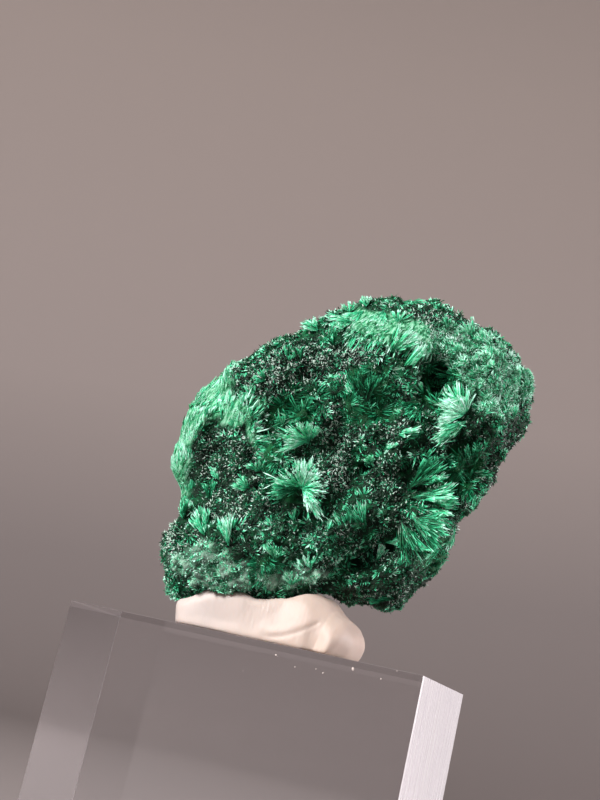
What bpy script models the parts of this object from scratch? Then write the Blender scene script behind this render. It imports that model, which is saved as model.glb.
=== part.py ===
"""A malachite specimen held by white putty on the top face of a clear acrylic block.

Metres, +Z up. The origin is the middle of the block's bottom face, X runs along the block's broad
front and +Y points to its back. The stone is worked out in millimetres in a frame of its own: u runs
along its broad face, v up that face and w out of it, towards whoever looks at the crystals.
"""
import math

import bmesh
import bpy
from mathutils import Matrix, Vector, noise
from mathutils.bvhtree import BVHTree

MM = 0.001

# The acrylic block is a stock two by one by two inch piece, stood on its narrow face.
BLOCK_WIDTH = 0.0508
BLOCK_DEPTH = 0.0254
BLOCK_HEIGHT = 0.0508
BLOCK_ARRIS = 0.0004
GAP = 0.0003

# How the stone sits: its broad face is turned to the block's right, droops a little and is rolled.
STONE_CENTRE = Vector((4.4, 0.0, 79.7))
FACE_TURN = math.radians(21.2)
FACE_DROOP = math.radians(13.2)
FACE_ROLL = math.radians(13.2)

# The stone's outline, seen square on to its broad face, clockwise from the peak. (u, v) in mm.
OUTLINE = [
    (3.2, 22.6), (6.2, 21.9), (9.2, 22.5), (12.6, 22.0), (16.0, 20.4), (20.3, 18.5), (23.8, 15.6),
    (25.6, 12.2), (27.0, 9.5), (26.4, 5.8), (25.2, 2.7), (22.0, -1.4), (20.9, -5.4), (18.0, -9.0),
    (16.2, -10.6), (15.4, -15.0), (13.4, -17.0), (9.9, -20.6), (8.5, -22.0), (1.0, -22.2),
    (-1.6, -20.8), (-4.4, -19.7), (-8.0, -19.9), (-12.8, -18.9), (-20.4, -19.6), (-25.2, -21.8),
    (-25.8, -17.6), (-25.9, -12.6), (-24.0, -9.6), (-23.2, -6.4), (-24.5, -0.6), (-23.4, 3.8),
    (-21.6, 7.6), (-16.5, 13.1), (-11.3, 16.1), (-7.2, 17.3), (-4.3, 19.2), (-1.0, 20.6),
]

# The planes that the stone broke along: the way each faces, as (u, v, w), and how far outside the
# outline's rim it passes, in mm.
BREAKS = [
    ((0.04, 0.06, 1.00), 9.6), ((-0.46, 0.12, 0.88), 3.4), ((-0.16, 0.62, 0.77), 2.6),
    ((0.44, 0.40, 0.80), 2.2), ((0.66, -0.56, 0.50), 1.2), ((0.10, -0.78, 0.60), 1.6),
    ((-0.40, -0.62, 0.68), 2.0), ((0.04, 0.02, -1.00), 9.8), ((0.54, 0.30, -0.78), 2.6),
    ((-0.58, 0.12, -0.80), 3.2), ((0.06, -0.66, -0.75), 2.8), ((-0.20, 0.74, -0.64), 3.0),
    ((0.72, -0.40, -0.56), 2.0), ((0.86, 0.10, 0.50), 0.9), ((-0.60, -0.52, -0.60), 1.2),
]
EDGE_SHARPNESS = 24.0

# Waves of three sizes, and rounded knobs with creases between them: (size, height) in mm.
WAVES = [(11.0, 1.2), (4.6, 0.6), (2.4, 0.5)]
KNOBS = (5.6, 2.2)

# Hollows in the broad face: (u, v, radius along, radius across, bearing in degrees, depth).
HOLLOWS = [
    (11.8, 11.0, 2.8, 1.5, 100.0, 5.0), (2.2, -13.8, 3.2, 1.8, 15.0, 4.0), (5.4, -12.0, 1.8, 1.3, 70.0, 2.6),
    (1.6, -0.2, 2.4, 1.8, 60.0, 1.7), (-9.6, 5.0, 3.0, 2.2, 40.0, 1.4), (13.4, 0.6, 4.2, 1.2, 42.0, 2.2),
    (-8.9, -16.0, 1.4, 2.0, 0.0, 1.6), (16.6, -2.0, 2.8, 2.2, 30.0, 1.5), (-19.4, -4.0, 3.0, 2.0, 80.0, 1.2),
    (-2.0, -16.0, 2.2, 1.5, 10.0, 1.6), (5.4, 6.8, 2.6, 2.0, 20.0, 1.4), (-17.0, 8.8, 2.6, 1.3, 45.0, 1.3),
]

# Swells on the broad face, in the same form.
SWELLS = [
    (5.0, 16.6, 4.6, 3.0, 150.0, 1.9), (18.6, 12.0, 5.0, 3.2, 130.0, 1.3), (-19.6, -14.6, 4.2, 2.4, 10.0, 1.9),
    (-14.6, -11.6, 3.0, 2.0, 60.0, 1.5), (-7.4, 11.6, 6.4, 2.8, 25.0, 1.0), (-21.0, 3.4, 6.0, 2.2, 62.0, 1.3),
    (10.4, -8.0, 4.4, 3.0, 110.0, 1.4), (-6.0, -3.9, 3.2, 2.8, 0.0, 1.0), (3.4, -18.0, 5.6, 1.6, 5.0, 1.2),
    (-13.4, 3.4, 3.6, 1.8, 45.0, 1.1), (16.0, 4.4, 4.6, 1.5, 39.0, 1.6),
]

# Sprays of crystals: (u, v, side, first bearing, last bearing, reach, blades). A side of 1 is the
# broad face and -1 the back, bearings are in degrees from +u towards +v, and the reach is in mm.
SPRAYS = [
    (-6.0, -3.9, 1, -76.0, 150.0, 3.7, 11), (-6.2, -3.8, 1, 160.0, 206.0, 5.2, 3), (-5.1, 2.4, 1, 56.0, 192.0, 4.6, 7),
    (16.0, 6.2, 1, 84.0, 198.0, 5.6, 7), (13.6, 3.2, 1, 236.0, 262.0, 4.2, 2), (-24.0, -2.4, 1, 52.0, 74.0, 11.0, 5),
    (-16.6, 2.8, 1, 26.0, 60.0, 6.4, 4), (-16.0, -12.2, 1, 40.0, 116.0, 5.6, 5), (6.8, -5.2, 1, -72.0, 22.0, 8.4, 9),
    (5.6, 14.1, 1, 14.0, 84.0, 5.2, 5), (2.2, 19.6, 1, 206.0, 276.0, 5.2, 5), (7.8, 12.2, 1, 44.0, 70.0, 5.6, 3),
    (2.5, 7.6, 1, 66.0, 120.0, 5.4, 3), (6.0, 2.4, 1, 150.0, 196.0, 4.6, 3), (17.6, -2.2, 1, 70.0, 170.0, 5.0, 4),
    (0.4, -11.4, 1, 84.0, 150.0, 4.6, 3), (21.4, 13.6, 1, 130.0, 220.0, 5.0, 4), (-9.0, 10.6, 1, 20.0, 120.0, 4.4, 4),
    (-8.0, 6.0, -1, -40.0, 200.0, 6.8, 8), (9.0, 4.0, -1, 120.0, 330.0, 7.8, 8),
    (-14.0, -9.0, -1, 20.0, 160.0, 6.4, 5), (6.0, -11.0, -1, -160.0, 10.0, 6.0, 5),
]
BLADE_WIDTH = 1.7
BLADE_THICKNESS = 1.3
BLADE_ROOT_DEPTH = 0.5
BLADE_LIFT = 1.4

# The putty: (distance along X, height) in mm, from its left end to its folded right end. Where the
# stone is lower than that height, its underside presses the putty down.
PUTTY_CREST = [
    (-13.0, 0.8), (-12.8, 3.4), (-12.0, 5.2), (-10.0, 6.6), (-5.0, 9.6), (0.0, 11.0), (4.0, 10.2),
    (7.2, 8.6), (9.2, 6.9), (10.4, 6.1), (12.2, 5.6), (13.4, 4.4), (13.9, 2.8), (14.0, 0.8),
]
PUTTY_FRONT = -7.4
PUTTY_BACK = 5.8
PUTTY_STATIONS = 26
PUTTY_ARCH_POINTS = 13
PUTTY_FOLD = 8.6
PUTTY_FOLD_DEPTH = 0.6


def clear_scene():
    """Remove whatever the file opened with."""
    for found in list(bpy.data.objects):
        bpy.data.objects.remove(found)


def material(name, colour, roughness, transmission=0.0):
    """A Principled material of one colour."""
    made = bpy.data.materials.new(name)
    made.use_nodes = True
    shader = made.node_tree.nodes["Principled BSDF"]
    shader.inputs["Base Color"].default_value = (*colour, 1.0)
    shader.inputs["Roughness"].default_value = roughness
    shader.inputs["Transmission Weight"].default_value = transmission
    return made


def add_object(name, shape, finish):
    """Link a bmesh as an object with its own material."""
    mesh = bpy.data.meshes.new(name)
    shape.to_mesh(mesh)
    shape.free()
    mesh.materials.append(finish)
    made = bpy.data.objects.new(name, mesh)
    bpy.context.scene.collection.objects.link(made)
    return made


def stone_to_world():
    """The matrix that takes the stone's u, v, w in mm to the row's metres."""
    stand_up = Matrix(((1, 0, 0), (0, 0, -1), (0, 1, 0))).to_4x4()
    roll = Matrix.Rotation(-FACE_ROLL, 4, "Y")
    droop = Matrix.Rotation(FACE_DROOP, 4, "X")
    turn = Matrix.Rotation(FACE_TURN, 4, "Z")
    place = Matrix.Translation(STONE_CENTRE)
    return Matrix.Scale(MM, 4) @ place @ turn @ droop @ roll @ stand_up


def height_along(points, x):
    """Height of a line of (x, height) points at x."""
    for (x0, y0), (x1, y1) in zip(points, points[1:]):
        if x <= x1:
            share = max(0.0, min(1.0, (x - x0) / (x1 - x0)))
            return y0 + (y1 - y0) * share
    return points[-1][1]


def polar_outline():
    """The outline as (bearing, distance) from the stone's centre, once round and a step past each end."""
    polar = sorted((math.atan2(v, u), math.hypot(u, v)) for u, v in OUTLINE)
    before = (polar[-1][0] - math.tau, polar[-1][1])
    after = (polar[0][0] + math.tau, polar[0][1])
    return [before, *polar, after]


def outline_radius(polar, bearing):
    """How far the outline is from the stone's centre on a bearing, in mm."""
    for (a0, r0), (a1, r1) in zip(polar, polar[1:]):
        if bearing <= a1:
            share = (bearing - a0) / (a1 - a0)
            return r0 * r1 / (r1 * (1.0 - share) + r0 * share)
    return polar[-1][1]


def break_planes():
    """The broken faces as (unit normal, distance from the stone's centre in mm)."""
    planes = []
    for facing, clearance in BREAKS:
        normal = Vector(facing).normalized()
        rim = max(normal.x * u + normal.y * v for u, v in OUTLINE)
        planes.append((normal, rim + clearance))
    return planes


def stone_radius(polar, planes, way):
    """Distance from the centre to the stone's broken faces along a unit direction, edges eased."""
    flat = math.hypot(way.x, way.y)
    total = (flat / outline_radius(polar, math.atan2(way.y, way.x))) ** EDGE_SHARPNESS
    for normal, distance in planes:
        total += max(0.0, way.dot(normal) / distance) ** EDGE_SHARPNESS
    return total ** (-1.0 / EDGE_SHARPNESS)


def share_at(point, feature):
    """Share of a hollow's or swell's full depth at a point of the broad face."""
    u, v, radius_along, radius_across, bearing, _ = feature
    turn = math.radians(bearing)
    du, dv = point.x - u, point.y - v
    run = (du * math.cos(turn) + dv * math.sin(turn)) / radius_along
    across = (dv * math.cos(turn) - du * math.sin(turn)) / radius_across
    return math.exp(-(run * run + across * across))


def stone_point(polar, planes, way):
    """The stone's surface on a unit direction from its centre, in mm."""
    point = way * stone_radius(polar, planes, way)
    rise = sum(height * noise.noise(point / size + Vector((7.1, 3.3, 1.9)) * size) for size, height in WAVES)
    knob_size, knob_height = KNOBS
    rise += knob_height * (0.45 - noise.voronoi(point / knob_size)[0][0])
    point += way * rise
    if point.z > 0.0:
        fade = min(1.0, point.z / 5.0)
        depth = sum(h[5] * share_at(point, h) for h in HOLLOWS)
        height = sum(s[5] * share_at(point, s) for s in SWELLS)
        point.z += fade * (height - depth)
    return point


def stone_body():
    """The broken lump itself, before its crystals."""
    shape = bmesh.new()
    polar, planes = polar_outline(), break_planes()
    bmesh.ops.create_icosphere(shape, subdivisions=5, radius=1.0)
    for vert in shape.verts:
        vert.co = stone_point(polar, planes, vert.co.normalized())
    return shape


def face_point(tree, u, v, side):
    """Where the stone is met at (u, v), from in front or behind: (point, normal), or None."""
    start = Vector((u, v, 60.0 * side))
    point, normal, _, _ = tree.ray_cast(start, Vector((0.0, 0.0, -side)))
    return None if point is None else (point, normal)


def add_blade(shape, root, tip, up, width, thickness):
    """A flat crystal with a chisel point, from its root to its tip."""
    run = (tip - root).normalized()
    across = run.cross(up).normalized()
    rise = across.cross(run)
    shoulder = root.lerp(tip, 0.80)
    rings = []
    for centre, share in ((root, 0.42), (shoulder, 1.0)):
        half, deep = across * width * share / 2, rise * thickness * share / 2
        rings.append([shape.verts.new(centre + side) for side in (half, deep, -half, -deep)])
    point = shape.verts.new(tip)
    shape.faces.new(rings[0])
    for i in range(4):
        j = (i + 1) % 4
        shape.faces.new((rings[0][j], rings[0][i], rings[1][i], rings[1][j]))
        shape.faces.new((rings[1][j], rings[1][i], point))


def spray_blades(tree):
    """Every spray's blades, each rooted in the stone and lying out along its surface."""
    shape = bmesh.new()
    for number, (u, v, side, first, last, reach, blades) in enumerate(SPRAYS):
        heart = face_point(tree, u, v, side)
        if heart is None:
            continue
        root = heart[0] - heart[1] * BLADE_ROOT_DEPTH
        for i in range(blades):
            wobble = noise.noise(Vector((number * 3.7, i * 1.9, 0.5)))
            bearing = math.radians(first + (last - first) * (i + 0.5 + 0.5 * wobble) / blades)
            length = reach * (0.86 + 0.3 * noise.noise(Vector((i * 2.3, number * 1.7, 8.5))))
            met = face_point(tree, u + length * math.cos(bearing), v + length * math.sin(bearing), side)
            if met is None or abs(met[0].z - heart[0].z) > 0.9 * length:
                continue
            tip = met[0] + met[1] * BLADE_LIFT
            add_blade(shape, root, tip, heart[1] + met[1], BLADE_WIDTH, BLADE_THICKNESS)
    bmesh.ops.recalc_face_normals(shape, faces=shape.faces)
    return shape


def make_malachite():
    """The stone with its sprays grown onto it as one solid."""
    green = material("malachite_green", (0.02, 0.22, 0.11), 0.45)
    body = stone_body()
    tree = BVHTree.FromBMesh(body)
    blades = spray_blades(tree)
    stone = add_object("malachite", body, green)
    sprays = add_object("spray_blades", blades, green)
    for made in (stone, sprays):
        made.data.transform(stone_to_world())
    sprays.hide_render = True
    sprays.display_type = "WIRE"
    grown = stone.modifiers.new("grown_sprays", "BOOLEAN")
    grown.operation = "UNION"
    grown.solver = "EXACT"
    grown.use_self = True
    grown.object = sprays
    return stone


def putty_ring(shape, tree, x, share):
    """The putty's section at x: its arch from the front edge over to the back edge."""
    base = BLOCK_HEIGHT + GAP
    end = math.sin(math.pi * min(0.5, share * 6.0, (1.0 - share) * 5.0))
    middle = (PUTTY_FRONT + PUTTY_BACK) / 2
    half = (PUTTY_BACK - PUTTY_FRONT) / 2 * (0.45 + 0.55 * end)
    half -= PUTTY_FOLD_DEPTH * math.exp(-(((x - PUTTY_FOLD) / 1.2) ** 2))
    crest = height_along(PUTTY_CREST, x)
    last = PUTTY_ARCH_POINTS - 1
    ring = []
    for k in range(PUTTY_ARCH_POINTS):
        angle = math.pi * k / last
        y = middle - half * math.copysign(abs(math.cos(angle)) ** 0.8, math.cos(angle))
        z = base + MM * crest * abs(math.sin(angle)) ** 0.62
        above = tree.ray_cast(Vector((x * MM, y * MM, base)), Vector((0.0, 0.0, 1.0)))[0]
        if above is not None:
            z = min(z, max(base + GAP, above.z - 1.5 * GAP))
        ring.append(shape.verts.new((x * MM, y * MM, z if 0 < k < last else base)))
    return ring


def make_putty(stone):
    """The putty pressed between the block and the stone, its top taking the stone's underside."""
    tree = BVHTree.FromObject(stone, bpy.context.evaluated_depsgraph_get())
    left, right = PUTTY_CREST[0][0], PUTTY_CREST[-1][0]
    shape = bmesh.new()
    shares = [0.5 - 0.5 * math.cos(math.pi * i / PUTTY_STATIONS) for i in range(PUTTY_STATIONS + 1)]
    rings = [putty_ring(shape, tree, left + (right - left) * share, share) for share in shares]
    for one, two in zip(rings, rings[1:]):
        for k in range(PUTTY_ARCH_POINTS):
            j = (k + 1) % PUTTY_ARCH_POINTS
            shape.faces.new((one[k], one[j], two[j], two[k]))
    shape.faces.new(rings[0])
    shape.faces.new(rings[-1])
    bmesh.ops.recalc_face_normals(shape, faces=shape.faces)
    return add_object("mineral_putty", shape, material("putty_white", (0.90, 0.84, 0.78), 0.6))


def make_block():
    """The clear block, its sharp edges taken off."""
    shape = bmesh.new()
    size = Matrix.Diagonal((BLOCK_WIDTH, BLOCK_DEPTH, BLOCK_HEIGHT, 1.0))
    stand = Matrix.Translation((0.0, 0.0, BLOCK_HEIGHT / 2))
    bmesh.ops.create_cube(shape, size=1.0, matrix=stand @ size)
    made = add_object("acrylic_block", shape, material("acrylic_clear", (0.95, 0.95, 0.96), 0.03, 1.0))
    arris = made.modifiers.new("arris", "BEVEL")
    arris.width = BLOCK_ARRIS
    arris.segments = 1
    return made


def main():
    """Build the stone first, because the putty takes its shape from it."""
    clear_scene()
    stone = make_malachite()
    make_putty(stone)
    make_block()


main()
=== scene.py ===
"""The looks of a malachite specimen in white putty on a clear acrylic display block.

Everything is in metres in the row frame: Z up, the origin under the block. The stone is described in
the plane of its broad face, which is square on to the camera: u to the right, v up and w towards the
camera, in millimetres. Crystals named one by one are placed by the pixel of the photograph, in its
600 x 800 frame, where their hearts are, and they grow from the stone that is met there.
"""
import logging
import math
from dataclasses import dataclass, field, replace
from enum import Enum
from typing import Iterable

import bmesh
import bpy
import numpy as np
from mathutils import Matrix, Vector, noise
from mathutils.bvhtree import BVHTree


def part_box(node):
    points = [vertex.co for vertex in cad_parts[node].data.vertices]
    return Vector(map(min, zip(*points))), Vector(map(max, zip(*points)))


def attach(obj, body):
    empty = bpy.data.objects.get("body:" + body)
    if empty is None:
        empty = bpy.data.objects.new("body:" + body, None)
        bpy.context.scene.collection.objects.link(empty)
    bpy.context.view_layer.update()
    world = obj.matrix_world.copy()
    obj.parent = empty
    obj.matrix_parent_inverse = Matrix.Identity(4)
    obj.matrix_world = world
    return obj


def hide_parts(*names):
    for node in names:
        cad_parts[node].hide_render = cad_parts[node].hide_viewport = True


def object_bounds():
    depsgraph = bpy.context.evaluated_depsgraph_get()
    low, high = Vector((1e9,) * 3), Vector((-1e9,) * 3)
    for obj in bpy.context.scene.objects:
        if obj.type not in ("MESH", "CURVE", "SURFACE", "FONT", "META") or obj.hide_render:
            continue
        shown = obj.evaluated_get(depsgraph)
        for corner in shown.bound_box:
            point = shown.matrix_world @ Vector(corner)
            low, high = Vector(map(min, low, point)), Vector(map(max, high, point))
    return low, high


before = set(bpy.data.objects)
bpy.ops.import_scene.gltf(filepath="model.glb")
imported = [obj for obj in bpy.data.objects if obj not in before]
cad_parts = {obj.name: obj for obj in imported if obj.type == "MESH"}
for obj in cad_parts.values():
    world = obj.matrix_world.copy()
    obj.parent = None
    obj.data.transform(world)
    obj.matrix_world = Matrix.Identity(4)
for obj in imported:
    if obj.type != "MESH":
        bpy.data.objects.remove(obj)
CAD_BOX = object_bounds()

LOG = logging.getLogger("malachite")
MM = 0.001
BODY = "root"
SEED = 20225
MALACHITE_IOR = 1.6
ACRYLIC_IOR = 1.49
PRISM_SIDES = 4
PRISM_SEGMENTS = 2
PRISM_SHOULDER = 0.8
PRISM_ROOT = 0.5
PRISM_FLARE = 3.0
BLADE_SHOULDER = 0.74
BLADE_KEEL = -0.55
FINE_GRAIN_SHARE = 4.3

Colour = tuple[float, float, float]
Place = tuple[float, float, float]
Pixel = tuple[float, float]
Range = tuple[float, float]
Socket = bpy.types.NodeSocket
Node = bpy.types.Node
Piece = bpy.types.Object
Material = bpy.types.Material


def linear(red: int, green: int, blue: int) -> Colour:
    """Turn a display colour into the linear values that a shader takes.

    Args:
        red: Red, 0 to 255.
        green: Green, 0 to 255.
        blue: Blue, 0 to 255.

    Returns:
        The linear colour.
    """
    shares = [part / 255.0 for part in (red, green, blue)]
    return tuple(s / 12.92 if s <= 0.04045 else ((s + 0.055) / 1.055) ** 2.4 for s in shares)


@dataclass(frozen=True)
class PhotoCamera:
    """The camera's place, heading and lens, which were found from the block's corners."""

    place: Place = (0.06566, -0.18024, 0.04145)
    heading: float = 21.16
    climb: float = 13.21
    roll: float = 13.23
    lens: float = 60.75
    sensor: float = 36.0
    width: int = 600
    height: int = 800

    def axes(self) -> tuple[Vector, Vector, Vector]:
        """Return the camera's right, up and forward directions.

        Returns:
            Three unit vectors.
        """
        turn, climb, roll = (math.radians(a) for a in (self.heading, self.climb, self.roll))
        ahead = math.cos(climb)
        forward = Vector((-math.sin(turn) * ahead, math.cos(turn) * ahead, math.sin(climb)))
        level = Vector((math.cos(turn), math.sin(turn), 0.0))
        upright = level.cross(forward)
        right = level * math.cos(roll) + upright * math.sin(roll)
        return right, right.cross(forward), forward

    def sight(self, pixel: Pixel) -> Vector:
        """Return the direction in which a pixel of the photograph looks.

        Args:
            pixel: The pixel, from the top left corner.

        Returns:
            A unit vector.
        """
        right, up, forward = self.axes()
        focal = self.lens / self.sensor * self.height
        across = (pixel[0] - self.width / 2) / focal
        above = (self.height / 2 - pixel[1]) / focal
        return (forward + right * across + up * above).normalized()

    def make(self) -> None:
        """Add the camera to the scene."""
        right, up, forward = self.axes()
        data = bpy.data.cameras.new("photo_camera")
        data.sensor_width = self.sensor
        data.lens = self.lens
        data.clip_start = 0.005
        data.clip_end = 20.0
        camera = bpy.data.objects.new("photo_camera", data)
        turn = Matrix((right, up, -forward)).transposed().to_4x4()
        camera.matrix_world = Matrix.Translation(self.place) @ turn
        bpy.context.scene.collection.objects.link(camera)
        bpy.context.scene.camera = camera


CAMERA = PhotoCamera()
STONE_CENTRE = Vector((0.0044, 0.0, 0.0797))
FACE_RIGHT, FACE_UP, FACE_BACK = CAMERA.axes()


def face_place(point: Vector) -> Place:
    """Return a point's u, v and w in the plane of the stone's broad face, in mm."""
    away = point - STONE_CENTRE
    return away.dot(FACE_RIGHT) / MM, away.dot(FACE_UP) / MM, -away.dot(FACE_BACK) / MM


class NodePen:
    """Adds nodes to one tree and joins them."""

    def __init__(self, tree: bpy.types.NodeTree) -> None:
        """Start on a tree."""
        self.tree = tree

    def add(self, kind: str, **settings: object) -> Node:
        """Add a node and set its own properties.

        Args:
            kind: The node's type name.
            **settings: Properties to set on it.

        Returns:
            The new node.
        """
        node = self.tree.nodes.new(kind)
        for name, value in settings.items():
            setattr(node, name, value)
        return node

    def join(self, source: Socket, *targets: Socket) -> None:
        """Join one output to one or more inputs."""
        for target in targets:
            self.tree.links.new(source, target)

    def sum(self, kind: str, *values: object, clamp: bool = False) -> Socket:
        """Add a Math node.

        Args:
            kind: The operation, such as MULTIPLY.
            *values: Its inputs, each a number or an output socket.
            clamp: Whether the result is held between 0 and 1.

        Returns:
            The node's output.
        """
        node = self.add("ShaderNodeMath", operation=kind, use_clamp=clamp)
        for socket, value in zip(node.inputs, values):
            if isinstance(value, Socket):
                self.join(value, socket)
            else:
                socket.default_value = value
        return node.outputs[0]

    def attribute(self, name: str) -> Socket:
        """Read a mesh attribute's value in a shader tree."""
        return self.add("ShaderNodeAttribute", attribute_name=name).outputs["Fac"]

    def ramp(self, value: Socket, stops: Iterable[tuple[float, Colour]]) -> Socket:
        """Turn a value into a colour.

        Args:
            value: What drives the ramp.
            stops: Places from 0 to 1 with their colours.

        Returns:
            The colour.
        """
        node = self.add("ShaderNodeValToRGB")
        elements = node.color_ramp.elements
        for i, (place, colour) in enumerate(stops):
            element = elements[i] if i < 2 else elements.new(place)
            element.position = place
            element.color = (*colour, 1.0)
        self.join(value, node.inputs["Fac"])
        return node.outputs["Color"]

    def mix(self, share: object, first: object, second: object, blend: str = "MIX") -> Socket:
        """Mix two colours.

        Args:
            share: How much of the second, a number or a socket.
            first: A colour or a socket.
            second: A colour or a socket.
            blend: The blend type.

        Returns:
            The mixed colour.
        """
        node = self.add("ShaderNodeMix", data_type="RGBA", blend_type=blend)
        for index, value in ((0, share), (6, first), (7, second)):
            if isinstance(value, Socket):
                self.join(value, node.inputs[index])
            elif index == 0:
                node.inputs[index].default_value = value
            else:
                node.inputs[index].default_value = (*value, 1.0)
        return node.outputs[2]


def grain_group() -> bpy.types.NodeTree:
    """Build the grain that every rough surface here shares.

    Returns:
        A shader group with Scale and Stretch inputs, and Value and Fine outputs.
    """
    found = bpy.data.node_groups.get("mineral_grain")
    if found is not None:
        return found
    group = bpy.data.node_groups.new("mineral_grain", "ShaderNodeTree")
    scale = group.interface.new_socket("Scale", in_out="INPUT", socket_type="NodeSocketFloat")
    scale.default_value = 1200.0
    group.interface.new_socket("Stretch", in_out="INPUT", socket_type="NodeSocketVector")
    group.interface.new_socket("Value", in_out="OUTPUT", socket_type="NodeSocketFloat")
    group.interface.new_socket("Fine", in_out="OUTPUT", socket_type="NodeSocketFloat")
    pen = NodePen(group)
    given = pen.add("NodeGroupInput")
    out = pen.add("NodeGroupOutput")
    place = pen.add("ShaderNodeTexCoord")
    stretched = pen.add("ShaderNodeVectorMath", operation="MULTIPLY")
    pen.join(place.outputs["Object"], stretched.inputs[0])
    pen.join(given.outputs["Stretch"], stretched.inputs[1])
    coarse = pen.add("ShaderNodeTexNoise")
    coarse.inputs["Detail"].default_value = 3.0
    fine = pen.add("ShaderNodeTexNoise")
    fine.inputs["Detail"].default_value = 2.0
    pen.join(stretched.outputs[0], coarse.inputs["Vector"], fine.inputs["Vector"])
    pen.join(given.outputs["Scale"], coarse.inputs["Scale"])
    pen.join(pen.sum("MULTIPLY", given.outputs["Scale"], FINE_GRAIN_SHARE), fine.inputs["Scale"])
    pen.join(coarse.outputs["Fac"], out.inputs["Value"])
    pen.join(fine.outputs["Fac"], out.inputs["Fine"])
    return group


def principled(name: str) -> tuple[Material, NodePen, Node]:
    """Start a material.

    Args:
        name: The material's name.

    Returns:
        The material, a pen on its tree and its Principled shader.
    """
    material = bpy.data.materials.new(name)
    material.use_nodes = True
    return material, NodePen(material.node_tree), material.node_tree.nodes["Principled BSDF"]


def add_grain(pen: NodePen, scale: float, stretch: Place = (1.0, 1.0, 1.0)) -> Node:
    """Place the shared grain in a material's tree.

    Args:
        pen: The pen on the tree.
        scale: Grains to the metre.
        stretch: How much closer together the grains are along each axis.

    Returns:
        The group's node.
    """
    node = pen.add("ShaderNodeGroup", node_tree=grain_group())
    node.inputs["Scale"].default_value = scale
    node.inputs["Stretch"].default_value = stretch
    return node


@dataclass(frozen=True)
class CrystalFinish:
    """Malachite crystals, darker towards their roots and paler towards their tips: partly the fibres'
    own pale tips, partly painted silky sheen.
    """

    name: str
    deep: Colour
    green: Colour
    bright: Colour
    pale: Colour
    tip_tone_and_sheen: float = 0.30
    roughness: float = 0.42
    gloss: float = 0.3
    grains_to_the_metre: float = 2600.0
    middle: float = 0.45
    mottling: float = 0.35

    def make(self) -> Material:
        """Build the material. It reads each crystal's own tint, and along, which is 0 at the root.

        Returns:
            The material.
        """
        material, pen, shader = principled(self.name)
        grain = add_grain(pen, self.grains_to_the_metre)
        # Past its middle each crystal's colour is lifted towards the pale stop, partly its own paler
        # tip and partly painted silky sheen; before the middle it is lowered towards the deep stop.
        beyond = pen.sum("SUBTRACT", pen.attribute("along"), self.middle)
        lift = pen.sum("MULTIPLY", beyond, self.tip_tone_and_sheen)
        mottle = pen.sum("MULTIPLY", pen.sum("SUBTRACT", grain.outputs["Value"], 0.5), self.mottling)
        value = pen.sum("ADD", pen.sum("ADD", pen.attribute("tint"), lift), mottle, clamp=True)
        stops = ((0.0, self.deep), (0.38, self.green), (0.70, self.bright), (1.0, self.pale))
        pen.join(pen.ramp(value, stops), shader.inputs["Base Color"])
        rough = pen.sum("ADD", pen.sum("MULTIPLY", grain.outputs["Fine"], 0.20), self.roughness - 0.10)
        pen.join(rough, shader.inputs["Roughness"])
        shader.inputs["IOR"].default_value = MALACHITE_IOR
        shader.inputs["Specular IOR Level"].default_value = self.gloss
        return material


SPRAY_FINISH = CrystalFinish(
    "malachite_spray", deep=linear(0, 30, 15), green=linear(0, 108, 66),
    bright=linear(84, 230, 172), pale=linear(206, 255, 238), tip_tone_and_sheen=0.50, roughness=0.44, gloss=0.22,
)
# The crust's grey-pink pale stop is painted reflection: its palest crystals stand in for the druse's
# glints.
CRUST_FINISH = CrystalFinish(
    "malachite_crust", deep=linear(0, 14, 7), green=linear(0, 62, 38),
    bright=linear(48, 144, 104), pale=linear(182, 204, 192), tip_tone_and_sheen=0.24, roughness=0.30, gloss=0.35,
)
NAP_FINISH = CrystalFinish(
    "malachite_velvet", deep=linear(4, 78, 48), green=linear(40, 150, 104),
    bright=linear(130, 232, 186), pale=linear(220, 255, 242), tip_tone_and_sheen=0.40, roughness=0.55, gloss=0.2,
)


class Ground(Enum):
    """What the stone's skin is like in a patch. Elsewhere it is a crust of small dark crystals."""

    FIBRE = "fibre"
    VELVET = "velvet"
    TUFT = "tuft"
    GLOSS = "gloss"
    OLIVE = "olive"
    # Where the crust's pale crystals, which are painted glints, are kept brightest.
    SPARKLE = "sparkle"
    HOLLOW = "hollow"


@dataclass(frozen=True)
class Patch:
    """An oval stretch of one kind of ground.

    Its middle and radii are in mm on the broad face, or on the back where its side is -1. The most is
    the greatest share that the ground has there, from 0 to 1.
    """

    ground: Ground
    u: float
    v: float
    along: float
    across: float
    bearing: float = 0.0
    side: int = 1
    most: float = 1.0


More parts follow.
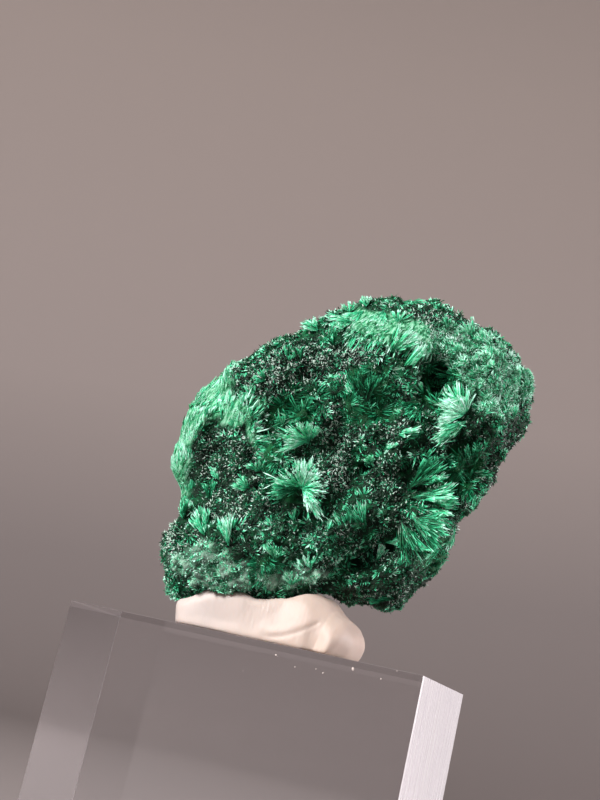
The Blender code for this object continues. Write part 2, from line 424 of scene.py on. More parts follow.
PATCHES = (
    Patch(Ground.FIBRE, -23.1, 3.0, 5.2, 1.9, 76.0), Patch(Ground.FIBRE, -19.3, 8.2, 4.8, 2.1, 52.0),
    Patch(Ground.FIBRE, -23.6, -3.6, 4.6, 1.6, 86.0), Patch(Ground.FIBRE, -15.0, 6.4, 3.6, 1.7, 25.0),
    Patch(Ground.FIBRE, -13.4, 3.6, 2.4, 0.8, 100.0), Patch(Ground.FIBRE, 6.0, 17.6, 6.4, 2.6, 160.0),
    Patch(Ground.SPARKLE, -18.6, 1.0, 3.8, 1.8, 66.0, most=0.55),
    Patch(Ground.GLOSS, -10.8, 0.8, 3.0, 1.4, 90.0), Patch(Ground.VELVET, 17.2, 14.4, 6.4, 3.4, -32.0),
    Patch(Ground.VELVET, 19.8, 9.6, 4.6, 3.2, -40.0), Patch(Ground.VELVET, 24.0, 10.4, 3.4, 1.8, -50.0),
    Patch(Ground.TUFT, -19.4, -14.8, 4.4, 2.8, 10.0), Patch(Ground.TUFT, -14.2, -16.2, 4.2, 2.2, 0.0),
    Patch(Ground.TUFT, -7.0, -16.6, 4.0, 1.3, 6.0), Patch(Ground.GLOSS, 16.2, -1.4, 3.6, 2.8, 40.0),
    Patch(Ground.GLOSS, -8.4, -4.6, 2.4, 1.6, 0.0), Patch(Ground.GLOSS, 3.0, 8.6, 4.0, 3.4, 90.0),
    Patch(Ground.GLOSS, -10.4, -15.2, 2.4, 1.8, 90.0), Patch(Ground.GLOSS, 12.6, 10.0, 3.2, 1.8, 80.0),
    Patch(Ground.GLOSS, -7.6, 6.2, 3.6, 2.2, 20.0), Patch(Ground.GLOSS, 12.4, -13.6, 2.6, 2.2, 80.0),
    Patch(Ground.OLIVE, 5.4, -18.4, 8.0, 3.0, 6.0), Patch(Ground.OLIVE, 22.6, 1.0, 4.6, 2.4, 60.0),
    Patch(Ground.SPARKLE, -8.4, 11.4, 7.0, 3.4, 25.0), Patch(Ground.SPARKLE, 11.2, 18.4, 3.0, 2.6, 0.0),
    Patch(Ground.SPARKLE, 0.6, 12.8, 3.6, 2.6, -30.0), Patch(Ground.SPARKLE, -1.4, 0.4, 1.9, 6.0, 0.0),
    Patch(Ground.SPARKLE, -15.4, -0.4, 4.0, 3.2, 30.0, most=0.5),
    Patch(Ground.SPARKLE, -14.6, -6.2, 5.0, 2.8, 0.0, most=0.55),
    Patch(Ground.SPARKLE, 5.2, 3.6, 3.2, 2.4, 0.0, most=0.6),
    Patch(Ground.SPARKLE, 5.0, -3.2, 2.6, 3.4, 0.0, most=0.6),
    Patch(Ground.SPARKLE, -24.0, -11.4, 1.8, 2.6, 0.0),
    Patch(Ground.HOLLOW, 12.4, 11.1, 1.7, 0.9, 82.0), Patch(Ground.HOLLOW, 1.4, -14.4, 1.1, 0.5, 25.0),
    Patch(Ground.HOLLOW, 3.4, -13.4, 0.8, 0.5, 70.0), Patch(Ground.HOLLOW, 5.6, -12.2, 1.0, 0.5, 50.0),
    Patch(Ground.HOLLOW, 2.4, -1.3, 0.8, 0.7, 0.0), Patch(Ground.HOLLOW, 8.2, -1.3, 1.0, 0.6, 20.0),
    Patch(Ground.HOLLOW, -12.6, -16.3, 1.0, 0.6, 90.0),
    Patch(Ground.HOLLOW, -23.3, -11.3, 0.8, 0.6, 60.0),
    Patch(Ground.HOLLOW, -17.8, -12.8, 0.8, 0.5, 0.0), Patch(Ground.HOLLOW, 3.6, 7.6, 0.7, 0.4, 90.0),
    Patch(Ground.HOLLOW, 15.1, 8.3, 1.0, 0.5, 90.0), Patch(Ground.HOLLOW, -12.4, -3.7, 0.6, 0.6, 0.0),
    Patch(Ground.HOLLOW, 11.0, -19.4, 2.6, 1.2, 30.0),
    Patch(Ground.FIBRE, -14.0, 2.0, 7.0, 4.0, 120.0, -1),
    Patch(Ground.VELVET, 12.0, 10.0, 8.0, 5.0, 30.0, -1),
    Patch(Ground.TUFT, -6.0, -14.0, 6.0, 3.6, 0.0, -1),
    Patch(Ground.GLOSS, 4.0, -3.0, 5.0, 4.0, 0.0, -1),
    Patch(Ground.SPARKLE, -4.0, 12.0, 7.0, 4.0, 10.0, -1),
    Patch(Ground.OLIVE, 8.0, -17.0, 7.0, 3.0, 0.0, -1),
)


@dataclass(frozen=True)
class Spray:
    """One radiating group of crystals.

    Its heart is a pixel of the photograph, its bearings are in degrees from the picture's right
    towards its top, its reach and girth are in mm, and rise is how steeply it stands off the stone.
    """

    heart: Pixel
    first: float
    last: float
    reach: float
    needles: int
    tint: float
    rise: float = 15.0
    girth: float = 0.28


STAR = (
    Spray((302, 488), -78.0, 152.0, 3.5, 56, 0.98, 26.0, 0.34),
    Spray((302, 488), -66.0, -52.0, 4.9, 9, 0.95, 16.0, 0.42),
    Spray((302, 488), -46.0, 60.0, 3.8, 26, 1.04, 14.0, 0.38),
    Spray((303, 486), 66.0, 104.0, 3.8, 14, 0.90, 20.0, 0.26),
    Spray((300, 487), 158.0, 206.0, 4.6, 26, 0.60, 12.0, 0.36),
    Spray((300, 486), 156.0, 168.0, 4.9, 6, 0.85, 22.0, 0.28),
)
PALM = (
    Spray((465, 414), 86.0, 198.0, 4.6, 50, 1.10, 22.0, 0.40),
    Spray((465, 414), 146.0, 160.0, 5.2, 8, 1.08, 14.0, 0.46),
    Spray((464, 413), 100.0, 120.0, 4.8, 8, 1.06, 20.0, 0.42),
    Spray((462, 413), 168.0, 202.0, 4.2, 16, 0.98, 12.0, 0.36),
)
SPRAYS = STAR + PALM + (
    Spray((309, 441), 56.0, 194.0, 3.9, 46, 0.84, 26.0, 0.32),
    Spray((309, 441), 128.0, 196.0, 4.6, 16, 0.92, 16.0, 0.34),
    Spray((289, 362), 30.0, 120.0, 2.2, 16, 0.72), Spray((318, 331), 100.0, 200.0, 3.0, 22, 0.84),
    Spray((333, 346), 70.0, 130.0, 3.0, 18, 0.55), Spray((300, 361), 40.0, 110.0, 2.4, 14, 0.50),
    Spray((266, 381), 100.0, 200.0, 2.4, 16, 0.66), Spray((254, 399), 60.0, 160.0, 2.2, 14, 0.62),
    Spray((352, 322), 150.0, 235.0, 3.4, 24, 0.86), Spray((364, 311), 188.0, 252.0, 3.8, 26, 0.90),
    Spray((385, 311), 212.0, 276.0, 3.6, 24, 0.90),
    Spray((389, 353), 14.0, 86.0, 4.3, 34, 0.84, 22.0, 0.34),
    Spray((389, 353), 28.0, 60.0, 4.6, 12, 0.94, 16.0, 0.42),
    Spray((398, 323), 20.0, 120.0, 2.4, 16, 0.76),
    Spray((404, 366), 52.0, 66.0, 4.2, 6, 0.86, 20.0, 0.52),
    Spray((412, 369), 58.0, 70.0, 4.0, 5, 0.88, 20.0, 0.52),
    Spray((396, 303), -10.0, 4.0, 4.6, 14, 0.62, 2.0), Spray((366, 307), 56.0, 130.0, 1.8, 22, 0.90),
    Spray((350, 313), 60.0, 150.0, 1.8, 16, 0.84), Spray((447, 331), 70.0, 120.0, 2.0, 12, 0.52),
    Spray((472, 336), 76.0, 150.0, 2.4, 16, 0.88), Spray((486, 343), 96.0, 170.0, 2.6, 16, 0.80),
    Spray((520, 385), 86.0, 150.0, 2.8, 22, 1.00), Spray((506, 372), 110.0, 160.0, 2.8, 16, 0.84),
    Spray((398, 435), -30.0, 0.0, 3.8, 18, 0.86, 16.0),
    Spray((468, 421), 210.0, 228.0, 5.0, 16, 0.70, 12.0, 0.42),
    Spray((514, 417), 60.0, 130.0, 1.8, 10, 0.90), Spray((366, 403), 56.0, 130.0, 4.8, 40, 0.24, 14.0),
    Spray((358, 397), 106.0, 150.0, 2.4, 12, 0.66), Spray((424, 393), 100.0, 170.0, 2.0, 12, 0.72),
    Spray((452, 399), 92.0, 124.0, 3.2, 14, 0.50), Spray((250, 488), 106.0, 192.0, 2.6, 22, 0.86),
    Spray((260, 471), 56.0, 160.0, 2.4, 18, 0.76), Spray((221, 482), 112.0, 142.0, 2.6, 8, 0.76),
    Spray((228, 547), 38.0, 114.0, 4.4, 22, 0.80, 22.0, 0.46),
    Spray((229, 547), 56.0, 84.0, 4.9, 8, 0.88, 24.0, 0.52),
    Spray((205, 536), 82.0, 132.0, 4.0, 26, 0.70), Spray((294, 521), 66.0, 130.0, 2.0, 14, 0.72),
    Spray((276, 559), 48.0, 122.0, 2.8, 18, 0.68), Spray((310, 573), 60.0, 160.0, 2.8, 20, 0.86),
    Spray((292, 585), 26.0, 152.0, 2.2, 18, 0.90), Spray((350, 541), 88.0, 162.0, 4.2, 30, 0.52),
    Spray((350, 541), 108.0, 140.0, 4.4, 10, 0.74, 16.0, 0.40),
    Spray((372, 463), 78.0, 112.0, 2.6, 16, 0.88, 20.0, 0.46),
    Spray((384, 453), 18.0, 80.0, 2.2, 14, 0.80),
    Spray((467, 420), 218.0, 238.0, 6.4, 26, 0.86, 8.0, 0.34),
    Spray((408, 490), 12.0, 46.0, 6.2, 34, 0.48, 8.0, 0.34),
    Spray((410, 498), -10.0, 14.0, 6.2, 28, 0.60, 10.0, 0.34),
    Spray((404, 503), -28.0, -8.0, 6.6, 26, 0.54, 10.0, 0.34),
    Spray((410, 520), -26.0, 2.0, 5.0, 22, 0.62, 12.0, 0.34),
    Spray((406, 511), -50.0, -30.0, 7.4, 26, 0.46, 8.0, 0.34),
    Spray((401, 520), -78.0, -50.0, 6.6, 30, 0.42, 8.0, 0.32),
    Spray((428, 486), 20.0, 34.0, 3.0, 10, 0.90, 12.0, 0.34),
    Spray((424, 500), -14.0, 0.0, 4.0, 12, 0.92, 12.0, 0.34),
    Spray((430, 511), -34.0, -20.0, 3.2, 10, 0.92, 12.0, 0.34),
    Spray((424, 524), -30.0, -14.0, 2.8, 10, 0.90, 12.0, 0.34),
    Spray((455, 523), 258.0, 282.0, 3.6, 16, 0.84), Spray((442, 544), 188.0, 238.0, 3.6, 22, 0.84),
    Spray((385, 542), -14.0, 36.0, 2.8, 24, 0.94), Spray((376, 561), 38.0, 82.0, 2.6, 14, 0.80),
    Spray((366, 533), 94.0, 132.0, 4.8, 26, 0.54, 14.0), Spray((500, 461), 68.0, 122.0, 2.4, 16, 0.72),
    Spray((474, 509), 88.0, 152.0, 2.4, 16, 0.72), Spray((396, 599), 166.0, 190.0, 3.8, 20, 0.50, 12.0),
    Spray((440, 478), 100.0, 160.0, 3.6, 20, 0.44, 12.0),
    Spray((470, 468), 60.0, 140.0, 3.4, 24, 0.36, 10.0),
    Spray((470, 472), -60.0, 20.0, 3.0, 20, 0.38, 10.0),
    Spray((424, 402), 190.0, 262.0, 3.4, 18, 0.34, 12.0),
    Spray((322, 402), 200.0, 300.0, 2.6, 18, 0.38, 14.0), Spray((210, 500), 60.0, 120.0, 3.0, 16, 0.50),
    Spray((183, 520), 60.0, 110.0, 3.0, 16, 0.60), Spray((345, 590), 60.0, 120.0, 2.4, 16, 0.46),
)


@dataclass(frozen=True)
class Plant:
    """One crystal to be grown: its root, aim and the way its flat faces, its length, girth and tint."""

    root: Vector
    aim: Vector
    face: Vector
    length: float
    girth: float
    tint: float


class Form(Enum):
    """The shapes that a planted crystal can have."""

    PRISM = "prism"
    BLADE = "blade"


class PlantTree:
    """The Geometry Nodes tree that turns marked points into crystals of one form."""

    flatness = {Form.PRISM: 0.62, Form.BLADE: 1.0}
    roll = {Form.PRISM: math.pi, Form.BLADE: 0.9}

    def __init__(self, form: Form) -> None:
        """Build the tree once for a form.

        Args:
            form: The crystal's shape.
        """
        tree = bpy.data.node_groups.new(f"plant_{form.value}", "GeometryNodeTree")
        face = tree.interface
        face.new_socket("Geometry", in_out="INPUT", socket_type="NodeSocketGeometry")
        finish = face.new_socket("Finish", in_out="INPUT", socket_type="NodeSocketMaterial")
        seed = face.new_socket("Seed", in_out="INPUT", socket_type="NodeSocketInt")
        face.new_socket("Geometry", in_out="OUTPUT", socket_type="NodeSocketGeometry")
        self.tree = tree
        self.keys = {"finish": finish.identifier, "seed": seed.identifier}
        pen = NodePen(tree)
        given = pen.add("NodeGroupInput")
        out = pen.add("NodeGroupOutput")
        planted = pen.add("GeometryNodeInstanceOnPoints")
        pen.join(given.outputs["Geometry"], planted.inputs["Points"])
        shape = prism_form(pen) if form is Form.PRISM else blade_form(pen)
        pen.join(shape, planted.inputs["Instance"])
        pen.join(self.rotation(pen, given.outputs["Seed"], self.roll[form]), planted.inputs["Rotation"])
        size = pen.add("ShaderNodeCombineXYZ")
        girth = named_value(pen, "girth", "FLOAT")
        pen.join(girth, size.inputs["X"])
        pen.join(pen.sum("MULTIPLY", girth, self.flatness[form]), size.inputs["Y"])
        pen.join(named_value(pen, "length", "FLOAT"), size.inputs["Z"])
        pen.join(size.outputs[0], planted.inputs["Scale"])
        dress_and_finish(pen, planted.outputs[0], given.outputs["Finish"], out)

    def rotation(self, pen: NodePen, seed: Socket, roll: float) -> Socket:
        """Aim each crystal along its aim, turn its flat the way it faces and roll it a little.

        Args:
            pen: The pen on the tree.
            seed: The seed's socket.
            roll: How far it may roll to either side, in radians.

        Returns:
            The rotation.
        """
        aimed = pen.add("FunctionNodeAlignRotationToVector", axis="Z")
        pen.join(named_value(pen, "aim", "FLOAT_VECTOR"), aimed.inputs["Vector"])
        faced = pen.add("FunctionNodeAlignRotationToVector", axis="Y", pivot_axis="Z")
        pen.join(aimed.outputs[0], faced.inputs["Rotation"])
        pen.join(named_value(pen, "face", "FLOAT_VECTOR"), faced.inputs["Vector"])
        draw = pen.add("FunctionNodeRandomValue", data_type="FLOAT")
        draw.inputs[2].default_value = -roll
        draw.inputs[3].default_value = roll
        pen.join(seed, draw.inputs["Seed"])
        spin = pen.add("FunctionNodeAxisAngleToRotation")
        spin.inputs["Axis"].default_value = (0.0, 0.0, 1.0)
        pen.join(draw.outputs[1], spin.inputs["Angle"])
        turned = pen.add("FunctionNodeRotateRotation", rotation_space="LOCAL")
        pen.join(faced.outputs[0], turned.inputs[0])
        pen.join(spin.outputs[0], turned.inputs[1])
        return turned.outputs[0]

    def grow(self, name: str, plants: list[Plant], finish: Material) -> Piece:
        """Grow a piece from its planted points.

        Args:
            name: The piece's name.
            plants: The crystals.
            finish: Their material.

        Returns:
            The finished piece, a plain mesh.
        """
        mesh = bpy.data.meshes.new(name)
        mesh.from_pydata([plant.root for plant in plants], [], [])
        for key in ("length", "girth", "tint"):
            values = [getattr(plant, key) for plant in plants]
            mesh.attributes.new(key, "FLOAT", "POINT").data.foreach_set("value", values)
        for key in ("aim", "face"):
            parts = [part for plant in plants for part in getattr(plant, key)]
            mesh.attributes.new(key, "FLOAT_VECTOR", "POINT").data.foreach_set("vector", parts)
        piece = bpy.data.objects.new(name, mesh)
        bpy.context.scene.collection.objects.link(piece)
        run_tree(piece, self.tree, {self.keys["finish"]: finish, self.keys["seed"]: len(name)})
        keep_attributes(piece.data, ("tint", "along"))
        return piece


def named_value(pen: NodePen, name: str, kind: str) -> Socket:
    """Read an attribute in a Geometry Nodes tree.

    Args:
        pen: The pen on the tree.
        name: The attribute's name.
        kind: Its data type.

    Returns:
        The attribute's socket.
    """
    node = pen.add("GeometryNodeInputNamedAttribute", data_type=kind)
    node.inputs["Name"].default_value = name
    return node.outputs[0]


def formed(pen: NodePen, shape: Socket, place: tuple, along: Socket) -> Socket:
    """Move a base mesh's points and mark how far along the crystal each one is.

    Args:
        pen: The pen on the tree.
        shape: The base mesh.
        place: The sockets of each point's new x, y and z.
        along: The socket of the mark, 0 at the root and 1 at the tip.

    Returns:
        The formed geometry.
    """
    marked = pen.add("GeometryNodeStoreNamedAttribute", data_type="FLOAT", domain="POINT")
    marked.inputs["Name"].default_value = "along"
    pen.join(shape, marked.inputs["Geometry"])
    pen.join(along, marked.inputs["Value"])
    joined = pen.add("ShaderNodeCombineXYZ")
    for socket, part in zip(joined.inputs, place):
        pen.join(part, socket)
    moved = pen.add("GeometryNodeSetPosition")
    pen.join(marked.outputs[0], moved.inputs["Geometry"])
    pen.join(joined.outputs[0], moved.inputs["Position"])
    return moved.outputs[0]


def point_parts(pen: NodePen) -> list[Socket]:
    """Return the x, y and z sockets of each point's place.

    Args:
        pen: The pen on the tree.

    Returns:
        The three sockets.
    """
    place = pen.add("GeometryNodeInputPosition")
    parts = pen.add("ShaderNodeSeparateXYZ")
    pen.join(place.outputs[0], parts.inputs[0])
    return list(parts.outputs)


def swell(pen: NodePen, z: Socket, shoulder: float) -> Socket:
    """Move the widest point of a crystal from its middle to its shoulder."""
    hump = pen.sum("MULTIPLY", z, pen.sum("SUBTRACT", 1.0, z))
    return pen.sum("ADD", z, pen.sum("MULTIPLY", hump, 4.0 * (shoulder - 0.5)))


def prism_form(pen: NodePen) -> Socket:
    """Make a four-sided crystal, a unit long and wide: a narrow root, a shoulder and a point.

    Args:
        pen: The pen on the tree.

    Returns:
        The crystal's socket.
    """
    cone = pen.add("GeometryNodeMeshCone", fill_type="NONE")
    cone.inputs["Vertices"].default_value = PRISM_SIDES
    cone.inputs["Side Segments"].default_value = PRISM_SEGMENTS
    cone.inputs["Radius Top"].default_value = 0.0
    cone.inputs["Radius Bottom"].default_value = 0.5
    cone.inputs["Depth"].default_value = 1.0
    x, y, z = point_parts(pen)
    root = pen.sum("ADD", pen.sum("MULTIPLY", z, PRISM_FLARE), PRISM_ROOT)
    wide, deep = pen.sum("MULTIPLY", x, root), pen.sum("MULTIPLY", y, root)
    return formed(pen, cone.outputs["Mesh"], (wide, deep, swell(pen, z, PRISM_SHOULDER)), z)


def blade_form(pen: NodePen) -> Socket:
    """Make a thin blade, a unit long and wide, of two flats that meet in a keel from root to tip.

    Args:
        pen: The pen on the tree.

    Returns:
        The blade's socket.
    """
    grid = pen.add("GeometryNodeMeshGrid")
    grid.inputs["Vertices X"].default_value = 2
    grid.inputs["Vertices Y"].default_value = 2
    x, y, _ = point_parts(pen)
    across = pen.sum("MULTIPLY", pen.sum("SUBTRACT", x, y), 0.5)
    along = pen.sum("MULTIPLY", pen.sum("ADD", pen.sum("ADD", x, y), 1.0), 0.5)
    droop = pen.sum("MULTIPLY", pen.sum("ABSOLUTE", across), BLADE_KEEL)
    place = (across, droop, swell(pen, along, BLADE_SHOULDER))
    shape = formed(pen, grid.outputs["Mesh"], place, along)
    split = pen.add("GeometryNodeTriangulate", quad_method="LONGEST_DIAGONAL")
    pen.join(shape, split.inputs["Mesh"])
    return split.outputs[0]


def spike_form(pen: NodePen, sides: Socket) -> Socket:
    """Make a short pointed crystal, a unit high and wide, with flat sides.

    Args:
        pen: The pen on the tree.
        sides: The socket that says how many sides it has.

    Returns:
        The crystal's socket.
    """
    cone = pen.add("GeometryNodeMeshCone", fill_type="NONE")
    cone.inputs["Radius Top"].default_value = 0.0
    cone.inputs["Radius Bottom"].default_value = 0.5
    cone.inputs["Depth"].default_value = 1.0
    pen.join(sides, cone.inputs["Vertices"])
    x, y, z = point_parts(pen)
    return formed(pen, cone.outputs["Mesh"], (x, y, z), z)


def dress_and_finish(pen: NodePen, shape: Socket, finish: Socket, out: Node) -> None:
    """End a tree: realize the instances and set their material.

    Args:
        pen: The pen on the tree.
        shape: The geometry to finish.
        finish: The material's socket.
        out: The tree's output node.
    """
    real = pen.add("GeometryNodeRealizeInstances")
    dressed = pen.add("GeometryNodeSetMaterial")
    pen.join(shape, real.inputs[0])
    pen.join(real.outputs[0], dressed.inputs["Geometry"])
    pen.join(finish, dressed.inputs["Material"])
    pen.join(dressed.outputs[0], out.inputs[0])


def merged_copy(node: str, name: str) -> Piece:
    """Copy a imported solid, whose triangles are loose, as one closed mesh.

    Args:
        node: The solid's node.
        name: The copy's name.

    Returns:
        The copy.
    """
    shape = bmesh.new()
    shape.from_mesh(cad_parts[node].data)
    bmesh.ops.remove_doubles(shape, verts=shape.verts, dist=1e-6)
    mesh = bpy.data.meshes.new(name)
    shape.to_mesh(mesh)
    shape.free()
    piece = bpy.data.objects.new(name, mesh)
    bpy.context.scene.collection.objects.link(piece)
    return piece


def read_points(mesh: bpy.types.Mesh) -> tuple[np.ndarray, np.ndarray]:
    """Return a mesh's points and their normals, a row each.

    Args:
        mesh: The mesh.

    Returns:
        The points and the normals.
    """
    places = np.empty(len(mesh.vertices) * 3, np.float32)
    normals = np.empty(len(mesh.vertices) * 3, np.float32)
    mesh.vertices.foreach_get("co", places)
    mesh.vertex_normals.foreach_get("vector", normals)
    return places.reshape(-1, 3), normals.reshape(-1, 3)


def write_points(mesh: bpy.types.Mesh, places: np.ndarray) -> None:
    """Move a mesh's points to new places, a row each."""
    mesh.vertices.foreach_set("co", places.astype(np.float32).ravel())
    mesh.update()


def write_mark(mesh: bpy.types.Mesh, name: str, values: np.ndarray) -> None:
    """Write a value for each point of a mesh."""
    mesh.attributes.new(name, "FLOAT", "POINT").data.foreach_set("value", values.astype(np.float32))


def run_tree(piece: Piece, tree: bpy.types.NodeTree, values: dict[str, object]) -> None:
    """Run a Geometry Nodes tree on a piece and keep the result as its plain mesh.

    Args:
        piece: The object to change.
        tree: The tree.
        values: What each input gets, by its socket's identifier.
    """
    modifier = piece.modifiers.new(tree.name, "NODES")
    modifier.node_group = tree
    for key, value in values.items():
        modifier[key] = value
    settle(piece)


def settle(piece: Piece) -> None:
    """Turn a piece and its modifiers into one plain mesh.

    Args:
        piece: The piece, which keeps its name.
    """
    bpy.context.view_layer.update()
    graph = bpy.context.evaluated_depsgraph_get()
    result = bpy.data.meshes.new_from_object(
        piece.evaluated_get(graph), preserve_all_data_layers=True, depsgraph=graph
    )
    piece.modifiers.clear()
    old = piece.data
    piece.data = result
    result.name = piece.name
    bpy.data.meshes.remove(old)


def keep_attributes(mesh: bpy.types.Mesh, names: tuple[str, ...]) -> None:
    """Remove the marks that a finished mesh no longer needs.

    Args:
        mesh: The mesh.
        names: The marks that it keeps.
    """
    for found in [a.name for a in mesh.attributes if not a.is_required and not a.is_internal]:
        if found not in names and found != "material_index":
            mesh.attributes.remove(mesh.attributes[found])


class CrustTree:
    """The Geometry Nodes tree that scatters short crystals on a surface, thickest where a mark says."""

    contrast = 1.6
    flatness = 0.7
    clumps_to_the_metre = 560.0
    clump_gain = 3.4
    clump_offset = 0.65
    darkest_clump = 0.12

    def __init__(self) -> None:
        """Build the tree once."""
        tree = bpy.data.node_groups.new("crust_of_crystals", "GeometryNodeTree")
        face = tree.interface
        face.new_socket("Geometry", in_out="INPUT", socket_type="NodeSocketGeometry")
        self.keys = {}
        for name, kind in (
            ("Mark", "String"), ("Spacing", "Float"), ("Density", "Float"), ("Shortest", "Float"),
            ("Longest", "Float"), ("Girth", "Float"), ("Tilt", "Float"), ("Dark", "Float"),
            ("Light", "Float"), ("Calm", "Float"), ("Sides", "Int"), ("Seed", "Int"),
            ("Finish", "Material"),
        ):
            socket = face.new_socket(name, in_out="INPUT", socket_type=f"NodeSocket{kind}")
            self.keys[name] = socket.identifier
        face.new_socket("Geometry", in_out="OUTPUT", socket_type="NodeSocketGeometry")
        self.tree = tree
        pen = NodePen(tree)
        given = pen.add("NodeGroupInput")
        out = pen.add("NodeGroupOutput")
        mark = pen.add("GeometryNodeInputNamedAttribute", data_type="FLOAT")
        pen.join(given.outputs["Mark"], mark.inputs["Name"])
        spread = pen.add("GeometryNodeDistributePointsOnFaces", distribute_method="POISSON")
        pen.join(given.outputs["Geometry"], spread.inputs["Mesh"])
        pen.join(given.outputs["Spacing"], spread.inputs["Distance Min"])
        pen.join(given.outputs["Density"], spread.inputs["Density Max"])
        pen.join(mark.outputs[0], spread.inputs["Density Factor"])
        pen.join(given.outputs["Seed"], spread.inputs["Seed"])
        tinted = pen.add("GeometryNodeStoreNamedAttribute", data_type="FLOAT", domain="POINT")
        tinted.inputs["Name"].default_value = "tint"
        pen.join(spread.outputs["Points"], tinted.inputs["Geometry"])
        # Outside the sparkle patches Calm lowers the tints, so the pale crystals, which are painted
        # glints, gather where sparkle is high.
        dull = pen.sum("SUBTRACT", 1.0, named_value(pen, "sparkle", "FLOAT"))
        painted_glint_scale = pen.sum("SUBTRACT", 1.0, pen.sum("MULTIPLY", given.outputs["Calm"], dull))
        drawn = pen.sum("POWER", self.between(pen, given, "Dark", "Light", 3), self.contrast)
        shade = pen.sum("MULTIPLY", pen.sum("MULTIPLY", drawn, painted_glint_scale), self.clumps(pen))
        pen.join(shade, tinted.inputs["Value"])
        planted = pen.add("GeometryNodeInstanceOnPoints")
        pen.join(tinted.outputs[0], planted.inputs["Points"])
        pen.join(spike_form(pen, given.outputs["Sides"]), planted.inputs["Instance"])
        pen.join(self.lean(pen, given, spread.outputs["Rotation"]), planted.inputs["Rotation"])
        size = pen.add("ShaderNodeCombineXYZ")
        length = self.between(pen, given, "Shortest", "Longest", 5)
        width = self.between(pen, given, "Shortest", "Longest", 7)
        girth = pen.sum("MULTIPLY", width, given.outputs["Girth"])
        pen.join(girth, size.inputs["X"])
        pen.join(pen.sum("MULTIPLY", girth, self.flatness), size.inputs["Y"])
        pen.join(length, size.inputs["Z"])
        pen.join(size.outputs[0], planted.inputs["Scale"])
        dress_and_finish(pen, planted.outputs[0], given.outputs["Finish"], out)

    def clumps(self, pen: NodePen) -> Socket:
        """Return a factor that makes neighbouring crystals lighter or darker together.

        Args:
            pen: The pen on the tree.

        Returns:
            The factor's socket.
        """
        lump = pen.add("ShaderNodeTexNoise")
        lump.inputs["Scale"].default_value = self.clumps_to_the_metre
        lump.inputs["Detail"].default_value = 1.0
        pen.join(pen.add("GeometryNodeInputPosition").outputs[0], lump.inputs["Vector"])
        raised = pen.sum("MULTIPLY", lump.outputs["Fac"], self.clump_gain)
        return pen.sum("MAXIMUM", pen.sum("SUBTRACT", raised, self.clump_offset), self.darkest_clump)

    def between(self, pen: NodePen, given: Node, low: str, high: str, step: int) -> Socket:
        """Draw a number for each point.

        Args:
            pen: The pen on the tree.
            given: The tree's input node.
            low: The input that holds the least value.
            high: The input that holds the greatest value.
            step: What this draw adds to the seed, so that no two draws are alike.

        Returns:
            The number.
        """
        draw = pen.add("FunctionNodeRandomValue", data_type="FLOAT")
        pen.join(given.outputs[low], draw.inputs[2])
        pen.join(given.outputs[high], draw.inputs[3])
        pen.join(pen.sum("ADD", given.outputs["Seed"], float(step)), draw.inputs["Seed"])
        return draw.outputs[1]

    def lean(self, pen: NodePen, given: Node, upright: Socket) -> Socket:
        """Lean each crystal off the surface's normal by up to the tilt.

        Args:
            pen: The pen on the tree.
            given: The tree's input node.
            upright: The rotation that stands a crystal on the surface.

        Returns:
            The leaning rotation.
        """
        draw = pen.add("FunctionNodeRandomValue", data_type="FLOAT_VECTOR")
        draw.inputs[0].default_value = (-1.0, -1.0, -math.pi)
        draw.inputs[1].default_value = (1.0, 1.0, math.pi)
        pen.join(pen.sum("ADD", given.outputs["Seed"], 11.0), draw.inputs["Seed"])
        scale = pen.add("ShaderNodeCombineXYZ")
        scale.inputs["Z"].default_value = 1.0
        pen.join(given.outputs["Tilt"], scale.inputs["X"], scale.inputs["Y"])
        scaled = pen.add("ShaderNodeVectorMath", operation="MULTIPLY")
        pen.join(draw.outputs[0], scaled.inputs[0])
        pen.join(scale.outputs[0], scaled.inputs[1])
        euler = pen.add("FunctionNodeEulerToRotation")
        pen.join(scaled.outputs[0], euler.inputs[0])
        turned = pen.add("FunctionNodeRotateRotation", rotation_space="LOCAL")
        pen.join(upright, turned.inputs[0])
        pen.join(euler.outputs[0], turned.inputs[1])
        return turned.outputs[0]

    def grow(self, name: str, surface: Piece, **values: object) -> Piece:
        """Grow a crust piece on a surface.

        Args:
            name: The piece's name.
            surface: The object whose faces carry the crystals.
            **values: The tree's inputs by name.

        Returns:
            The finished piece, a plain mesh.
        """
        piece = bpy.data.objects.new(name, surface.data.copy())
        bpy.context.scene.collection.objects.link(piece)
        run_tree(piece, self.tree, {self.keys[key]: value for key, value in values.items()})
        keep_attributes(piece.data, ("tint", "along"))
        return piece


